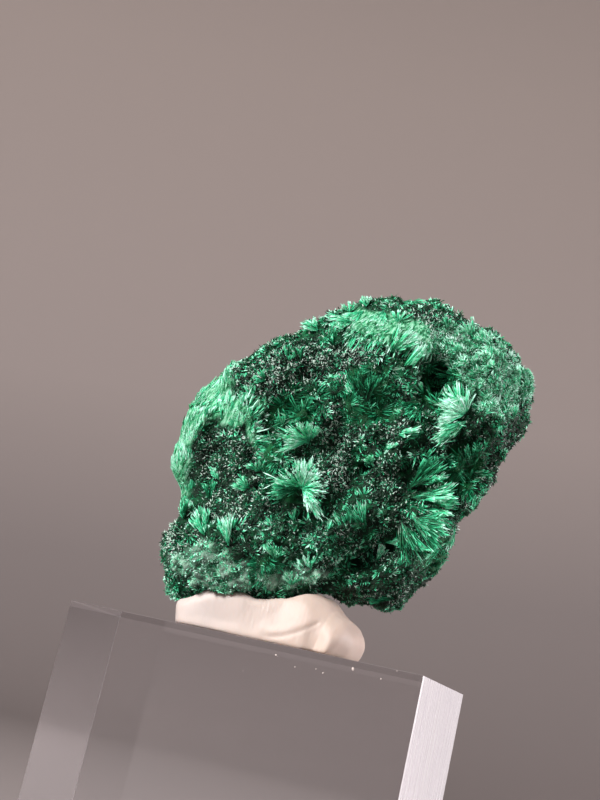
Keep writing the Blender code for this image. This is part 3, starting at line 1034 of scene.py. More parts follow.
@dataclass
class StoneBody:
    """The broken lump itself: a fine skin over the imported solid, marked with its kinds of ground."""

    voxel: float = 0.00036
    shrink: float = 0.00010
    waves: tuple[Range, ...] = ((0.0030, 0.00028), (0.0014, 0.00026), (0.0006, 0.00016))
    clumps: tuple[Range, ...] = ((0.0026, 0.00055), (0.0011, 0.00028))
    hollow_depth: float = 0.0014
    knob_size: float = 0.0016
    knob_height: float = 0.0012
    knob_middle: float = 0.55
    knob_slope: float = 1.6
    seam_width: float = 0.35
    clump_middle: float = 0.75
    fibre_calm: float = 0.75
    gloss_share: float = 0.6
    ease_start: float = 6.0
    right_ease: float = 12.0
    left_ease: float = 8.0
    warp_size: float = 0.0028
    warp_reach: float = 1.1
    hollow_warp: float = 0.25
    patch_rim: float = 1.25
    patch_fade: float = 0.4
    crust_size: float = 0.0034
    crust_mean: float = 0.36
    crust_swing: float = 1.5
    crust_range: tuple[float, float] = (0.05, 0.7)
    tuft_nap: float = 0.3
    side_depth: float = 2.0
    side_share: float = 0.8
    front_depth: float = 1.5
    strand_bearing: float = 62.0
    strand_stretch: float = 0.16
    strands_to_the_metre: float = 2600.0
    right_edge: tuple[Range, ...] = (
        (-22.0, 0.8), (-17.0, 0.9), (-13.0, 0.3), (-9.0, -0.5), (-5.0, -1.1), (-2.0, -1.1), (1.0, -0.6),
        (4.0, -0.4), (7.0, 0.2), (10.0, 0.9), (14.0, 1.3), (17.0, 0.8), (20.0, 0.0),
    )
    left_edge: tuple[Range, ...] = (
        (-14.0, -0.2), (-9.0, -0.4), (-4.0, 0.0), (2.0, 0.4), (5.0, 0.7), (8.0, 0.9), (10.0, 0.3),
        (12.0, -0.3), (13.5, 0.4), (15.0, 1.2), (17.0, 0.4), (20.0, 0.2),
    )
    piece: Piece = field(init=False)
    marks: dict[Ground, np.ndarray] = field(init=False)

    def build(self) -> Piece:
        """Make the skin, mark its grounds, roughen it and dress it.

        Returns:
            The finished piece.
        """
        self.piece = merged_copy("malachite", "stone_body")
        remesh = self.piece.modifiers.new("skin", "REMESH")
        remesh.mode = "VOXEL"
        remesh.voxel_size = self.voxel
        settle(self.piece)
        self.mark_grounds()
        self.roughen()
        self.piece.data.materials.clear()
        self.piece.data.materials.append(self.material())
        self.piece.data.shade_smooth()
        return self.piece

    def roughen(self) -> None:
        """Push the skin in and out in waves and clumps with sharp seams, as broken crystal is, and mark
        the seams and the knobs' heights, which the material turns into painted shade and light.
        """
        places, normals = read_points(self.piece.data)
        smooth = np.maximum(self.marks[Ground.FIBRE], self.gloss_share * self.marks[Ground.GLOSS])
        calm = 1.0 - self.fibre_calm * smooth
        rise = np.empty(len(places))
        seams = np.empty(len(places))
        knobs = np.zeros(len(places))
        tufts = self.marks[Ground.TUFT]
        for index, place in enumerate(places):
            point = Vector(place)
            total = sum(height * noise.noise(point / size) for size, height in self.waves)
            seam = 0.0
            for size, height in self.clumps:
                near = noise.voronoi(point / size)[0]
                edge = min(1.0, (near[1] - near[0]) / self.seam_width)
                total += height * (edge - self.clump_middle)
                seam = max(seam, 1.0 - edge)
            # The knob mark says how high a point stands on its knob; the material paints the knobs'
            # tops paler and the low parts darker, as painted light and shade.
            if tufts[index] > 0.0:
                bulge = self.knob_middle - noise.voronoi(point / self.knob_size)[0][0]
                total += self.knob_height * bulge * tufts[index]
                knobs[index] = min(1.0, max(0.0, 0.5 + self.knob_slope * bulge))
            rise[index] = total
            seams[index] = seam
        rise = rise * calm - self.shrink - self.hollow_depth * self.marks[Ground.HOLLOW]
        write_points(self.piece.data, self.eased(places + normals * rise[:, None]))
        # The mark along the seams is for painted shade: the material darkens the skin's colour there.
        write_mark(self.piece.data, "seam", seams * calm)
        write_mark(self.piece.data, "knob", knobs)

    def eased(self, places: np.ndarray) -> np.ndarray:
        """Ease the broad face's left and right edges to the outline that the camera sees.

        Args:
            places: The skin's points, a row each.

        Returns:
            Their new places.
        """
        right = np.array(FACE_RIGHT)
        away = (places - np.array(STONE_CENTRE)) / MM
        u, v = away @ right, away @ np.array(FACE_UP)
        shift = np.zeros(len(places))
        rightward = (u - self.ease_start) / self.right_ease
        leftward = (-self.ease_start - u) / self.left_ease
        for edge, weight in ((self.right_edge, rightward), (self.left_edge, leftward)):
            heights, moves = zip(*edge)
            shift += np.interp(v, heights, moves) * np.clip(weight, 0.0, 1.0)
        return places + right * shift[:, None] * MM

    def mark_grounds(self) -> None:
        """Write how much of each kind of ground every point has, from 0 to 1."""
        mesh = self.piece.data
        places, _ = read_points(mesh)
        spots = np.array([face_place(Vector(place)) for place in places])
        warp = np.array([noise.noise_vector(Vector(place) / self.warp_size)[:2] for place in places])
        warp = warp * self.warp_reach
        self.marks = {ground: np.zeros(len(places)) for ground in Ground}
        for patch in PATCHES:
            turn = math.radians(patch.bearing)
            loose = self.hollow_warp if patch.ground is Ground.HOLLOW else 1.0
            du = spots[:, 0] + warp[:, 0] * loose - patch.u
            dv = spots[:, 1] + warp[:, 1] * loose - patch.v
            run = (du * math.cos(turn) + dv * math.sin(turn)) / patch.along
            across = (dv * math.cos(turn) - du * math.sin(turn)) / patch.across
            strength = np.clip((self.patch_rim - np.hypot(run, across)) / self.patch_fade, 0.0, 1.0)
            facing = spots[:, 2] * patch.side / self.side_depth + self.side_share
            strength *= np.clip(facing, 0.0, 1.0)
            self.marks[patch.ground] = np.maximum(self.marks[patch.ground], strength * patch.most)
        calm = np.zeros(len(places))
        for ground in (Ground.FIBRE, Ground.VELVET, Ground.TUFT, Ground.GLOSS, Ground.HOLLOW):
            calm = np.maximum(calm, self.marks[ground])
        patchy = np.array([noise.noise(Vector(place) / self.crust_size) for place in places])
        rest = np.clip(self.crust_mean + self.crust_swing * patchy, *self.crust_range)
        crust = np.clip(np.maximum(rest, self.marks[Ground.SPARKLE]) - calm, 0.0, 1.0)
        front = np.clip(spots[:, 2] / self.front_depth + 0.5, 0.0, 1.0)
        nap = np.maximum(self.marks[Ground.VELVET], self.tuft_nap * self.marks[Ground.TUFT])
        extra = {"crust_front": crust * front, "crust_back": crust * (1.0 - front), "nap": nap}
        named = {ground.value: values for ground, values in self.marks.items()}
        for name, values in (named | extra).items():
            write_mark(mesh, name, values)

    def material(self) -> Material:
        """Dress the skin: dark green, with each ground's own colour, fibre streaks with painted silky
        sheen, knobs with painted light on their tops, and painted shade in the seams and hollows.

        Returns:
            The material.
        """
        material, pen, shader = principled("malachite_skin")
        coarse = add_grain(pen, 520.0)
        fine = add_grain(pen, 2400.0)
        stops = (
            (0.30, linear(0, 18, 9)), (0.47, linear(0, 62, 34)),
            (0.60, linear(0, 106, 60)), (0.78, linear(62, 168, 118)),
        )
        mixed = pen.sum("MULTIPLY", pen.sum("ADD", coarse.outputs["Value"], fine.outputs["Value"]), 0.5)
        colour = pen.ramp(mixed, stops)
        tones = (
            (Ground.SPARKLE, linear(4, 28, 18), 0.7), (Ground.OLIVE, linear(22, 46, 30), 0.8),
            (Ground.GLOSS, linear(0, 92, 46), 0.9), (Ground.VELVET, linear(70, 150, 108), 0.85),
        )
        for ground, tone, most in tones:
            share = pen.sum("MULTIPLY", pen.attribute(ground.value), most)
            share = pen.sum("MULTIPLY", share, pen.sum("ADD", fine.outputs["Value"], 0.45), clamp=True)
            colour = pen.mix(share, colour, tone)
        crisp = pen.sum("MULTIPLY", pen.sum("SUBTRACT", fine.outputs["Fine"], 0.5), 2.2)
        lumpy = pen.sum("ADD", pen.attribute("knob"), crisp, clamp=True)
        # The tufts' pale green, with painted light on the knobs' tops and painted shade in the low
        # parts between them.
        knob_painted_light = pen.ramp(lumpy, (
            (0.10, linear(30, 100, 68)), (0.45, linear(126, 204, 164)), (0.85, linear(206, 250, 226)),
        ))
        colour = pen.mix(pen.sum("MULTIPLY", pen.attribute(Ground.TUFT.value), 0.92), colour, knob_painted_light)
        # The left flank's fibre streaks: their own dark and pale greens, with painted silky sheen in
        # the palest streaks.
        strands = self.strands(pen)
        silk_tone_and_sheen = pen.ramp(strands, (
            (0.38, linear(6, 92, 52)), (0.51, linear(74, 180, 126)), (0.64, linear(170, 240, 202)),
        ))
        colour = pen.mix(pen.sum("MULTIPLY", pen.attribute(Ground.FIBRE.value), 0.95), colour, silk_tone_and_sheen)
        # Painted shade: the skin is darkened to near black along the seams between clumps and in the
        # hollows.
        shade = pen.sum("MAXIMUM", pen.attribute("seam"), pen.attribute(Ground.HOLLOW.value))
        colour = pen.mix(pen.sum("MULTIPLY", shade, 0.8), colour, linear(0, 10, 5))
        pen.join(colour, shader.inputs["Base Color"])
        rough = pen.sum("ADD", pen.sum("MULTIPLY", fine.outputs["Fine"], 0.4), 0.28)
        pen.join(rough, shader.inputs["Roughness"])
        shader.inputs["IOR"].default_value = MALACHITE_IOR
        shader.inputs["Specular IOR Level"].default_value = 0.2
        bump = pen.add("ShaderNodeBump")
        bump.inputs["Strength"].default_value = 0.8
        bump.inputs["Distance"].default_value = 0.00025
        relief = pen.sum("ADD", pen.sum("ADD", fine.outputs["Value"], fine.outputs["Fine"]), strands)
        pen.join(relief, bump.inputs["Height"])
        pen.join(bump.outputs[0], shader.inputs["Normal"])
        return material

    def strands(self, pen: NodePen) -> Socket:
        """Return a grain that is drawn out along the left flank's fibres.

        Args:
            pen: The pen on the tree.

        Returns:
            The grain's socket.
        """
        bearing = math.radians(self.strand_bearing)
        along = FACE_RIGHT * math.cos(bearing) + FACE_UP * math.sin(bearing)
        across = FACE_UP * math.cos(bearing) - FACE_RIGHT * math.sin(bearing)
        place = pen.add("ShaderNodeTexCoord")
        drawn = pen.add("ShaderNodeCombineXYZ")
        drawn_out = ((along, self.strand_stretch, 0), (across, 1.0, 1), (FACE_BACK, 1.0, 2))
        for axis, scale, socket in drawn_out:
            dot = pen.add("ShaderNodeVectorMath", operation="DOT_PRODUCT")
            pen.join(place.outputs["Object"], dot.inputs[0])
            dot.inputs[1].default_value = axis * scale
            pen.join(dot.outputs["Value"], drawn.inputs[socket])
        streak = pen.add("ShaderNodeTexNoise")
        streak.inputs["Scale"].default_value = self.strands_to_the_metre
        streak.inputs["Detail"].default_value = 3.0
        pen.join(drawn.outputs[0], streak.inputs["Vector"])
        return streak.outputs["Fac"]

    def tree(self) -> BVHTree:
        """Return a search tree over the skin."""
        return BVHTree.FromObject(self.piece, bpy.context.evaluated_depsgraph_get())


@dataclass(frozen=True)
class Growth:
    """How small sprays grow on one kind of ground.

    The share says how thickly they stand. Reach, girth and sink are in mm, where sink is how deep the
    roots lie; rise and fan are in radians, and bearing is the one way that they all run, if they do.
    """

    share: float
    needles: int
    reach: tuple[float, float]
    tint: tuple[float, float]
    girth: float = 0.18
    rise: float = 0.3
    fan: tuple[float, float] = (0.5, 1.3)
    sink: float = 0.22
    bearing: float | None = None
    stray: float = 0.12


GROWTHS = {
    None: Growth(1.0, 10, (0.6, 1.6), (0.10, 0.86), 0.13, 0.20),
    Ground.FIBRE: Growth(3.6, 12, (1.0, 2.2), (0.36, 1.10), 0.12, 0.03, (0.02, 0.08), 0.24, 66.0, 0.07),
    Ground.VELVET: Growth(1.7, 9, (0.6, 1.5), (0.50, 1.20), 0.13, 0.16, (0.2, 0.6), 0.2, 148.0, 0.7),
    Ground.TUFT: Growth(0.8, 8, (0.4, 0.8), (0.46, 1.06), 0.15, 0.25, (0.6, 1.4), 0.12),
    Ground.GLOSS: Growth(1.3, 13, (1.2, 2.6), (0.16, 0.52), 0.16, 0.07, (0.3, 0.8), 0.25),
    Ground.OLIVE: Growth(0.9, 8, (0.5, 1.2), (0.06, 0.60), 0.15, 0.25),
    Ground.SPARKLE: Growth(0.6, 7, (0.5, 1.0), (0.12, 0.94), 0.14, 0.35),
    # Crystals in the hollows get dark tints: painted shade.
    Ground.HOLLOW: Growth(0.9, 8, (0.5, 1.2), (0.0, 0.40), 0.14, 0.25),
}


@dataclass
class CrystalGarden:
    """Plants the stone's crystals: the named sprays, then small ones all over."""

    body: StoneBody
    small_sprays: int = 15500
    behind: float = 0.4
    needles_in_bundle: int = 5
    hairs_in_bundle: int = 40
    bundle_spread: float = 1.8
    overhang: float = 0.0006
    low: float = 0.00005
    high: float = 0.00032
    named_high: float = 0.0010
    thinned: float = 0.2
    face_turn: float = 0.6
    clearing_ahead: float = 0.4
    clearing_size: float = 0.6
    bundle_share: float = 1.3
    foot_lift: float = 0.0003
    layers: tuple[Range, ...] = ((0.0, 1.0), (-0.26, 0.35))
    bright_share: float = 0.16
    bright_lift: float = 0.3
    shortest: float = 0.0003
    marked: float = 0.4
    bundle_place: Range = (0.25, 0.75)
    bundle_lift: Range = (0.4, 1.6)
    bundle_reach: Range = (0.74, 1.04)
    tint_share: float = 0.9
    needle_length: Range = (0.8, 1.0)
    needle_start: Range = (0.02, 0.22)
    needle_girth: Range = (0.35, 0.65)
    needle_sink: float = 0.0002
    needle_trim: float = 0.9
    needle_shade: float = 0.08
    hair_start: Range = (0.05, 0.84)
    hair_length: Range = (0.2, 0.34)
    hair_girth: Range = (0.09, 0.17)
    hair_glint_lift: float = 0.36
    blade_lift: Range = (0.2, 1.7)
    blade_length: Range = (0.6, 1.1)
    blade_start: Range = (0.0, 0.3)
    blade_girth: Range = (0.7, 1.3)
    upper_flow: float = 250.0
    flow_centre: Range = (-17.0, 2.0)
    flank_edge: float = -18.0
    flank_flow: Range = (78.0, 2.9)
    clearings: list[tuple[Vector, float]] = field(default_factory=list)
    drawn: np.random.Generator = field(default_factory=lambda: np.random.default_rng(SEED))
    tree: BVHTree = field(init=False)

    def named_sprays(self) -> tuple[list[Plant], list[Plant]]:
        """Plant every spray of the list where its pixel meets the stone.

        Returns:
            The needles and the finer hairs between them.
        """
        self.tree = self.body.tree()
        needles, hairs = [], []
        for spray in SPRAYS:
            point, normal, _, _ = self.tree.ray_cast(Vector(CAMERA.place), CAMERA.sight(spray.heart))
            if point is None:
                LOG.warning("no stone at %s", spray.heart)
                continue
            normal = (normal - FACE_BACK * self.face_turn).normalized()
            middle = math.radians((spray.first + spray.last) / 2)
            reach = spray.reach * MM
            ahead = FACE_RIGHT * math.cos(middle) + FACE_UP * math.sin(middle)
            middle_of_fan = point + ahead * reach * self.clearing_ahead
            self.clearings.append((middle_of_fan, reach * self.clearing_size))
            for layer, (shade, lift) in enumerate(self.layers):
                foot = point + normal * (self.foot_lift - self.foot_lift * layer)
                self.fan(spray, foot, normal, shade, lift, needles, hairs)
        return needles, hairs

    def fan(
        self, spray: Spray, point: Vector, normal: Vector, shade: float, lift: float,
        needles: list[Plant], hairs: list[Plant],
    ) -> None:
        """Plant one layer of a named spray, in bundles of needles that lie close together.

        Args:
            spray: The spray.
            point: Its heart on the stone.
            normal: The way that the stone faces there.
            shade: What the layer adds to the tint.
            lift: How much of the spray's rise the layer has.
            needles: Where its long crystals are added.
            hairs: Where its short ones are added.
        """
        draw = self.drawn
        bundles = max(3, round(spray.needles / self.needles_in_bundle * self.bundle_share))
        for k in range(bundles):
            share = (k + draw.uniform(*self.bundle_place)) / bundles
            heading = spray.first + (spray.last - spray.first) * share
            lean = spray.rise * lift * draw.uniform(*self.bundle_lift)
            reach = spray.reach * MM * draw.uniform(*self.bundle_reach)
            tone = spray.tint * self.tint_share + shade + draw.normal(0.0, 0.07)
            for _ in range(self.needles_in_bundle):
                bearing = math.radians(heading + draw.normal(0.0, self.bundle_spread))
                flat = FACE_RIGHT * math.cos(bearing) + FACE_UP * math.sin(bearing)
                flat = (flat - normal * flat.dot(normal)).normalized()
                rise = math.radians(lean + draw.normal(0.0, 2.5))
                aim = flat * math.cos(rise) + normal * math.sin(rise)
                length = reach * draw.uniform(*self.needle_length)
                out = draw.uniform(*self.needle_start)
                start = point + aim * out * length - normal * self.needle_sink
                girth = spray.girth * MM * draw.uniform(*self.needle_girth)
                tint = tone + draw.normal(0.0, 0.05) - self.needle_shade
                plant = Plant(start, aim, normal, length * self.needle_trim, girth, tint)
                needles.append(self.fitted(plant, self.named_high))
            if shade < 0.0:
                continue
            for _ in range(self.hairs_in_bundle):
                bearing = math.radians(heading + draw.normal(0.0, self.bundle_spread * 2.0))
                flat = FACE_RIGHT * math.cos(bearing) + FACE_UP * math.sin(bearing)
                flat = (flat - normal * flat.dot(normal)).normalized()
                rise = math.radians(lean + draw.normal(0.0, 4.0))
                aim = flat * math.cos(rise) + normal * math.sin(rise)
                out = draw.uniform(*self.hair_start)
                length = reach * draw.uniform(*self.hair_length)
                start = point + aim * out * reach
                start = self.settled(start, self.low, self.named_high * out)
                # Hairs further out along the spray are paler: painted glints.
                tint = tone + self.hair_glint_lift * (out - 0.4) + draw.normal(0.0, 0.12)
                girth = MM * draw.uniform(*self.hair_girth)
                plant = Plant(start, aim, normal, length, girth, tint)
                hairs.append(self.fitted(plant, self.named_high))

    def settled(self, point: Vector, low: float, high: float) -> Vector:
        """Move a point to between two heights above the stone.

        Args:
            point: The point.
            low: The least height, in metres.
            high: The greatest height, in metres.

        Returns:
            The point's new place.
        """
        near, normal, _, _ = self.tree.find_nearest(point)
        height = (point - near).dot(normal)
        return point + normal * (min(max(height, low), high) - height)

    def scattered(self) -> tuple[list[Plant], list[Plant]]:
        """Plant small sprays all over the stone, each as its ground asks.

        Returns:
            The crystals of the front and those of the back.
        """
        mesh = self.body.piece.data
        mesh.calc_loop_triangles()
        corners = np.empty(len(mesh.loop_triangles) * 3, np.int32)
        mesh.loop_triangles.foreach_get("vertices", corners)
        corners = corners.reshape(-1, 3)
        places, normals = read_points(mesh)
        edges = places[corners]
        areas = np.linalg.norm(np.cross(edges[:, 1] - edges[:, 0], edges[:, 2] - edges[:, 0]), axis=1)
        kinds = tuple(Ground)
        strengths = np.array([self.body.marks[kind][corners[:, 0]] for kind in kinds])
        strongest = np.where(strengths.max(0) < self.marked, -1, strengths.argmax(0))
        shares = np.array([GROWTHS[kind].share for kind in kinds] + [GROWTHS[None].share])
        depths = np.array([face_place(Vector(place))[2] for place in places])[corners[:, 0]]
        weights = areas * shares[strongest] * np.where(depths > 0.0, 1.0, self.behind)
        picked = self.drawn.choice(len(corners), self.small_sprays, p=weights / weights.sum())
        front, back = [], []
        for index in picked:
            point = Vector(edges[index].mean(0))
            cleared = any((point - centre).length < radius for centre, radius in self.clearings)
            if cleared and self.drawn.random() > self.thinned:
                continue
            normal = Vector(normals[corners[index]].mean(0)).normalized()
            kind = kinds[strongest[index]] if strongest[index] >= 0 else None
            target = front if face_place(point)[2] > 0.0 else back
            target.extend(self.small_spray(point, normal, kind))
        return front, back

    def small_spray(self, point: Vector, normal: Vector, kind: Ground | None) -> list[Plant]:
        """Plant one small spray.

        Args:
            point: Where it grows.
            normal: The stone's outward direction there.
            kind: Its kind of ground, if it has one.

        Returns:
            Its crystals.
        """
        draw, growth = self.drawn, GROWTHS[kind]
        across = normal.orthogonal().normalized()
        other = normal.cross(across)
        heading = draw.uniform(0.0, math.tau)
        if growth.bearing is not None:
            u, v, _ = face_place(point)
            run = self.flow(u, v) if kind is Ground.FIBRE else growth.bearing
            bearing = math.radians(run) + draw.normal(0.0, growth.stray)
            flat = FACE_RIGHT * math.cos(bearing) + FACE_UP * math.sin(bearing)
            heading = math.atan2(flat.dot(other), flat.dot(across))
        fan = draw.uniform(*growth.fan)
        reach = draw.uniform(*growth.reach)
        tint = draw.uniform(*growth.tint)
        if kind is None and draw.random() < self.bright_share:
            tint += self.bright_lift
        plants = []
        for _ in range(growth.needles):
            turn = heading + draw.uniform(-fan, fan)
            flat = across * math.cos(turn) + other * math.sin(turn)
            lift = growth.rise * draw.uniform(*self.blade_lift)
            aim = flat * math.cos(lift) + normal * math.sin(lift)
            length = reach * MM * draw.uniform(*self.blade_length)
            out = draw.uniform(*self.blade_start)
            start = point - normal * growth.sink * MM + flat * out * length
            girth = growth.girth * MM * draw.uniform(*self.blade_girth)
            shade = float(tint) + draw.normal(0.0, 0.06)
            plants.append(self.fitted(Plant(start, aim, normal, length, girth, shade), self.high))
        return plants

    def flow(self, u: float, v: float) -> float:
        """Return the bearing of the fibres at a place on the broad face, in degrees.

        Args:
            u: How far right it is, in mm.
            v: How far up it is, in mm.

        Returns:
            The bearing, from the picture's right towards its top.
        """
        if u > 0.0:
            return self.upper_flow
        if u > self.flank_edge:
            return math.degrees(math.atan2(v - self.flow_centre[1], u - self.flow_centre[0]))
        return self.flank_flow[0] - self.flank_flow[1] * v

    def fitted(self, plant: Plant, high: float) -> Plant:
        """Make a crystal follow the stone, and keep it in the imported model's box.

        Args:
            plant: The crystal.
            high: How far above the stone its tip may stand, in metres.

        Returns:
            The crystal with the aim and length that fit.
        """
        tip = self.settled(plant.root + plant.aim * plant.length, self.low, high)
        aim = (tip - plant.root).normalized()
        length = (tip - plant.root).length
        low, top = CAD_BOX
        for axis in range(3):
            reach = aim[axis] * length
            limit = top[axis] + self.overhang if reach > 0.0 else low[axis] - self.overhang
            room = limit - plant.root[axis]
            if abs(reach) > abs(room):
                length = max(self.shortest, length * room / reach)
        return replace(plant, aim=aim, length=length)


@dataclass
class Malachite:
    """The whole stone."""

    def build(self) -> list[Piece]:
        """Build the skin and everything that grows on it.

        Returns:
            The stone's pieces.
        """
        body = StoneBody()
        skin = body.build()
        garden = CrystalGarden(body)
        prisms, blades, crust = PlantTree(Form.PRISM), PlantTree(Form.BLADE), CrustTree()
        spray, dark, nap = SPRAY_FINISH.make(), CRUST_FINISH.make(), NAP_FINISH.make()
        named, hairs = garden.named_sprays()
        front, back = garden.scattered()
        pieces = [
            skin,
            prisms.grow("spray_crystals", named, spray),
            blades.grow("spray_hairs", hairs, spray),
            blades.grow("front_blades", front, spray),
            blades.grow("back_blades", back, spray),
        ]
        for side, density in (("front", 2.0e7), ("back", 1.1e7)):
            pieces.append(crust.grow(
                f"crystal_crust_{side}", skin, Mark=f"crust_{side}", Spacing=0.00014, Density=density,
                Shortest=0.00024, Longest=0.00062, Girth=0.55, Tilt=1.1, Dark=0.06, Light=1.30,
                Calm=0.34, Sides=4, Seed=7, Finish=dark,
            ))
        pieces.append(crust.grow(
            "velvet_nap", skin, Mark="nap", Spacing=0.00013, Density=2.6e7, Shortest=0.00024,
            Longest=0.0006, Girth=0.32, Tilt=0.9, Dark=0.50, Light=0.95, Calm=0.0,
            Sides=3, Seed=5, Finish=nap,
        ))
        for piece in pieces:
            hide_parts("malachite")
        return pieces


@dataclass
class PuttyWad:
    """White putty pressed between the stone and the block."""

    voxel: float = 0.0003
    smoothings: int = 8
    foot: float = 50.8
    fold_depth: float = 0.00018
    lip_height: float = 0.00008
    pinch_depth: float = 0.00009

    def build(self) -> list[Piece]:
        """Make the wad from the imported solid's form, with its folds and thumb marks.

        Returns:
            The one piece.
        """
        piece = merged_copy("mineral_putty", "putty_wad")
        remesh = piece.modifiers.new("soften", "REMESH")
        remesh.mode = "VOXEL"
        remesh.voxel_size = self.voxel
        smooth = piece.modifiers.new("smooth", "SMOOTH")
        smooth.factor = 0.5
        smooth.iterations = self.smoothings
        settle(piece)
        places, normals = read_points(piece.data)
        rise = np.array([self.relief(Vector(place)) for place in places])
        write_mark(piece.data, "warm", np.array([self.painted_warm_shade_at(Vector(place)) for place in places]))
        pressed = np.array([self.pressed(Vector(place)) for place in places + normals * rise[:, None]])
        write_points(piece.data, pressed)
        piece.data.materials.clear()
        piece.data.materials.append(self.material())
        piece.data.shade_smooth()
        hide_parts("mineral_putty")
        return [piece]

    def relief(self, point: Vector) -> float:
        """Return how far the surface stands proud at a point, in metres.

        Args:
            point: A point of the putty's skin.

        Returns:
            The height, less than 0 in a fold.
        """
        x, z = point.x / MM, point.z / MM - self.foot
        soft = 0.00012 * noise.noise(point / 0.0042) + 0.00004 * noise.noise(point / 0.0011)
        if point.y > -0.001:
            return soft
        arc = z - (1.0 + 0.06 * (x - 1.0) ** 2)
        folded = min(1.0, max(0.0, (x - 0.5) / 2.0)) * (x < 8.4)
        fold = -self.fold_depth * math.exp(-((arc / 0.22) ** 2)) * folded
        lip = self.lip_height * math.exp(-(((arc - 0.8) / 0.8) ** 2)) * folded
        pinch = -self.pinch_depth * math.exp(-(((x - 8.7 - 0.12 * z) / 0.25) ** 2))
        return soft + fold + lip + pinch

    def pressed(self, point: Vector) -> Vector:
        """Return a point's place once the ends are pinched and the front is pressed up to the stone.

        Args:
            point: A point of the putty's skin.

        Returns:
            Its new place.
        """
        x, z = point.x / MM, point.z / MM - self.foot
        left = min(1.0, max(0.0, (-7.0 - x) / 5.0))
        right = min(1.0, max(0.0, (x - 8.0) / 5.0))
        upper = min(1.0, max(0.0, (z - 2.0) / 3.0))
        front = min(1.0, max(0.0, -point.y / MM / 4.0))
        across = -left * min(1.1, 0.2 + 0.26 * z) - right * (0.6 + 1.7 * math.exp(-z / 1.6))
        crest = math.exp(-(((x + 5.6) / 3.6) ** 4)) * front - 0.6 * math.exp(-(((x - 2.8) / 2.2) ** 2))
        corner = 0.25 * max(0.0, -10.4 - x) ** 2
        shift = Vector((across, -0.6 * crest * upper * front, (crest - 0.5 * right - corner) * upper))
        return point + shift * MM

    def painted_warm_shade_at(self, point: Vector) -> float:
        """Return how much painted shade, darker and warmer than white, the putty has at a point:
        towards its right and its foot.
        """
        x, z = point.x / MM, point.z / MM - self.foot
        return min(1.0, 0.6 * min(1.0, max(0.0, (x + 8.0) / 16.0)) + 0.4 * math.exp(-z / 0.9))

    def material(self) -> Material:
        """Dress it: a warmish white, a little translucent, finely rippled, with painted shade that
        turns it darker and warmer towards its right and its foot.

        Returns:
            The material.
        """
        material, pen, shader = principled("putty_white")
        broad = add_grain(pen, 160.0)
        ripple = add_grain(pen, 900.0, (2.6, 1.0, 0.5))
        stops = ((0.35, linear(187, 174, 169)), (0.65, linear(192, 179, 174)))
        white = pen.ramp(broad.outputs["Value"], stops)
        # Painted shade: the putty turns darker and warmer towards its right, away from the key light,
        # and at its foot.
        share = pen.sum("MULTIPLY", pen.attribute("warm"), 0.6)
        pen.join(pen.mix(share, white, linear(192, 162, 138)), shader.inputs["Base Color"])
        shader.inputs["Roughness"].default_value = 0.55
        shader.inputs["Subsurface Weight"].default_value = 0.25
        shader.inputs["Subsurface Radius"].default_value = (1.0, 0.6, 0.4)
        shader.inputs["Subsurface Scale"].default_value = 0.0012
        bump = pen.add("ShaderNodeBump")
        bump.inputs["Strength"].default_value = 0.4
        bump.inputs["Distance"].default_value = 0.00012
        pen.join(ripple.outputs["Value"], bump.inputs["Height"])
        pen.join(bump.outputs[0], shader.inputs["Normal"])
        return material


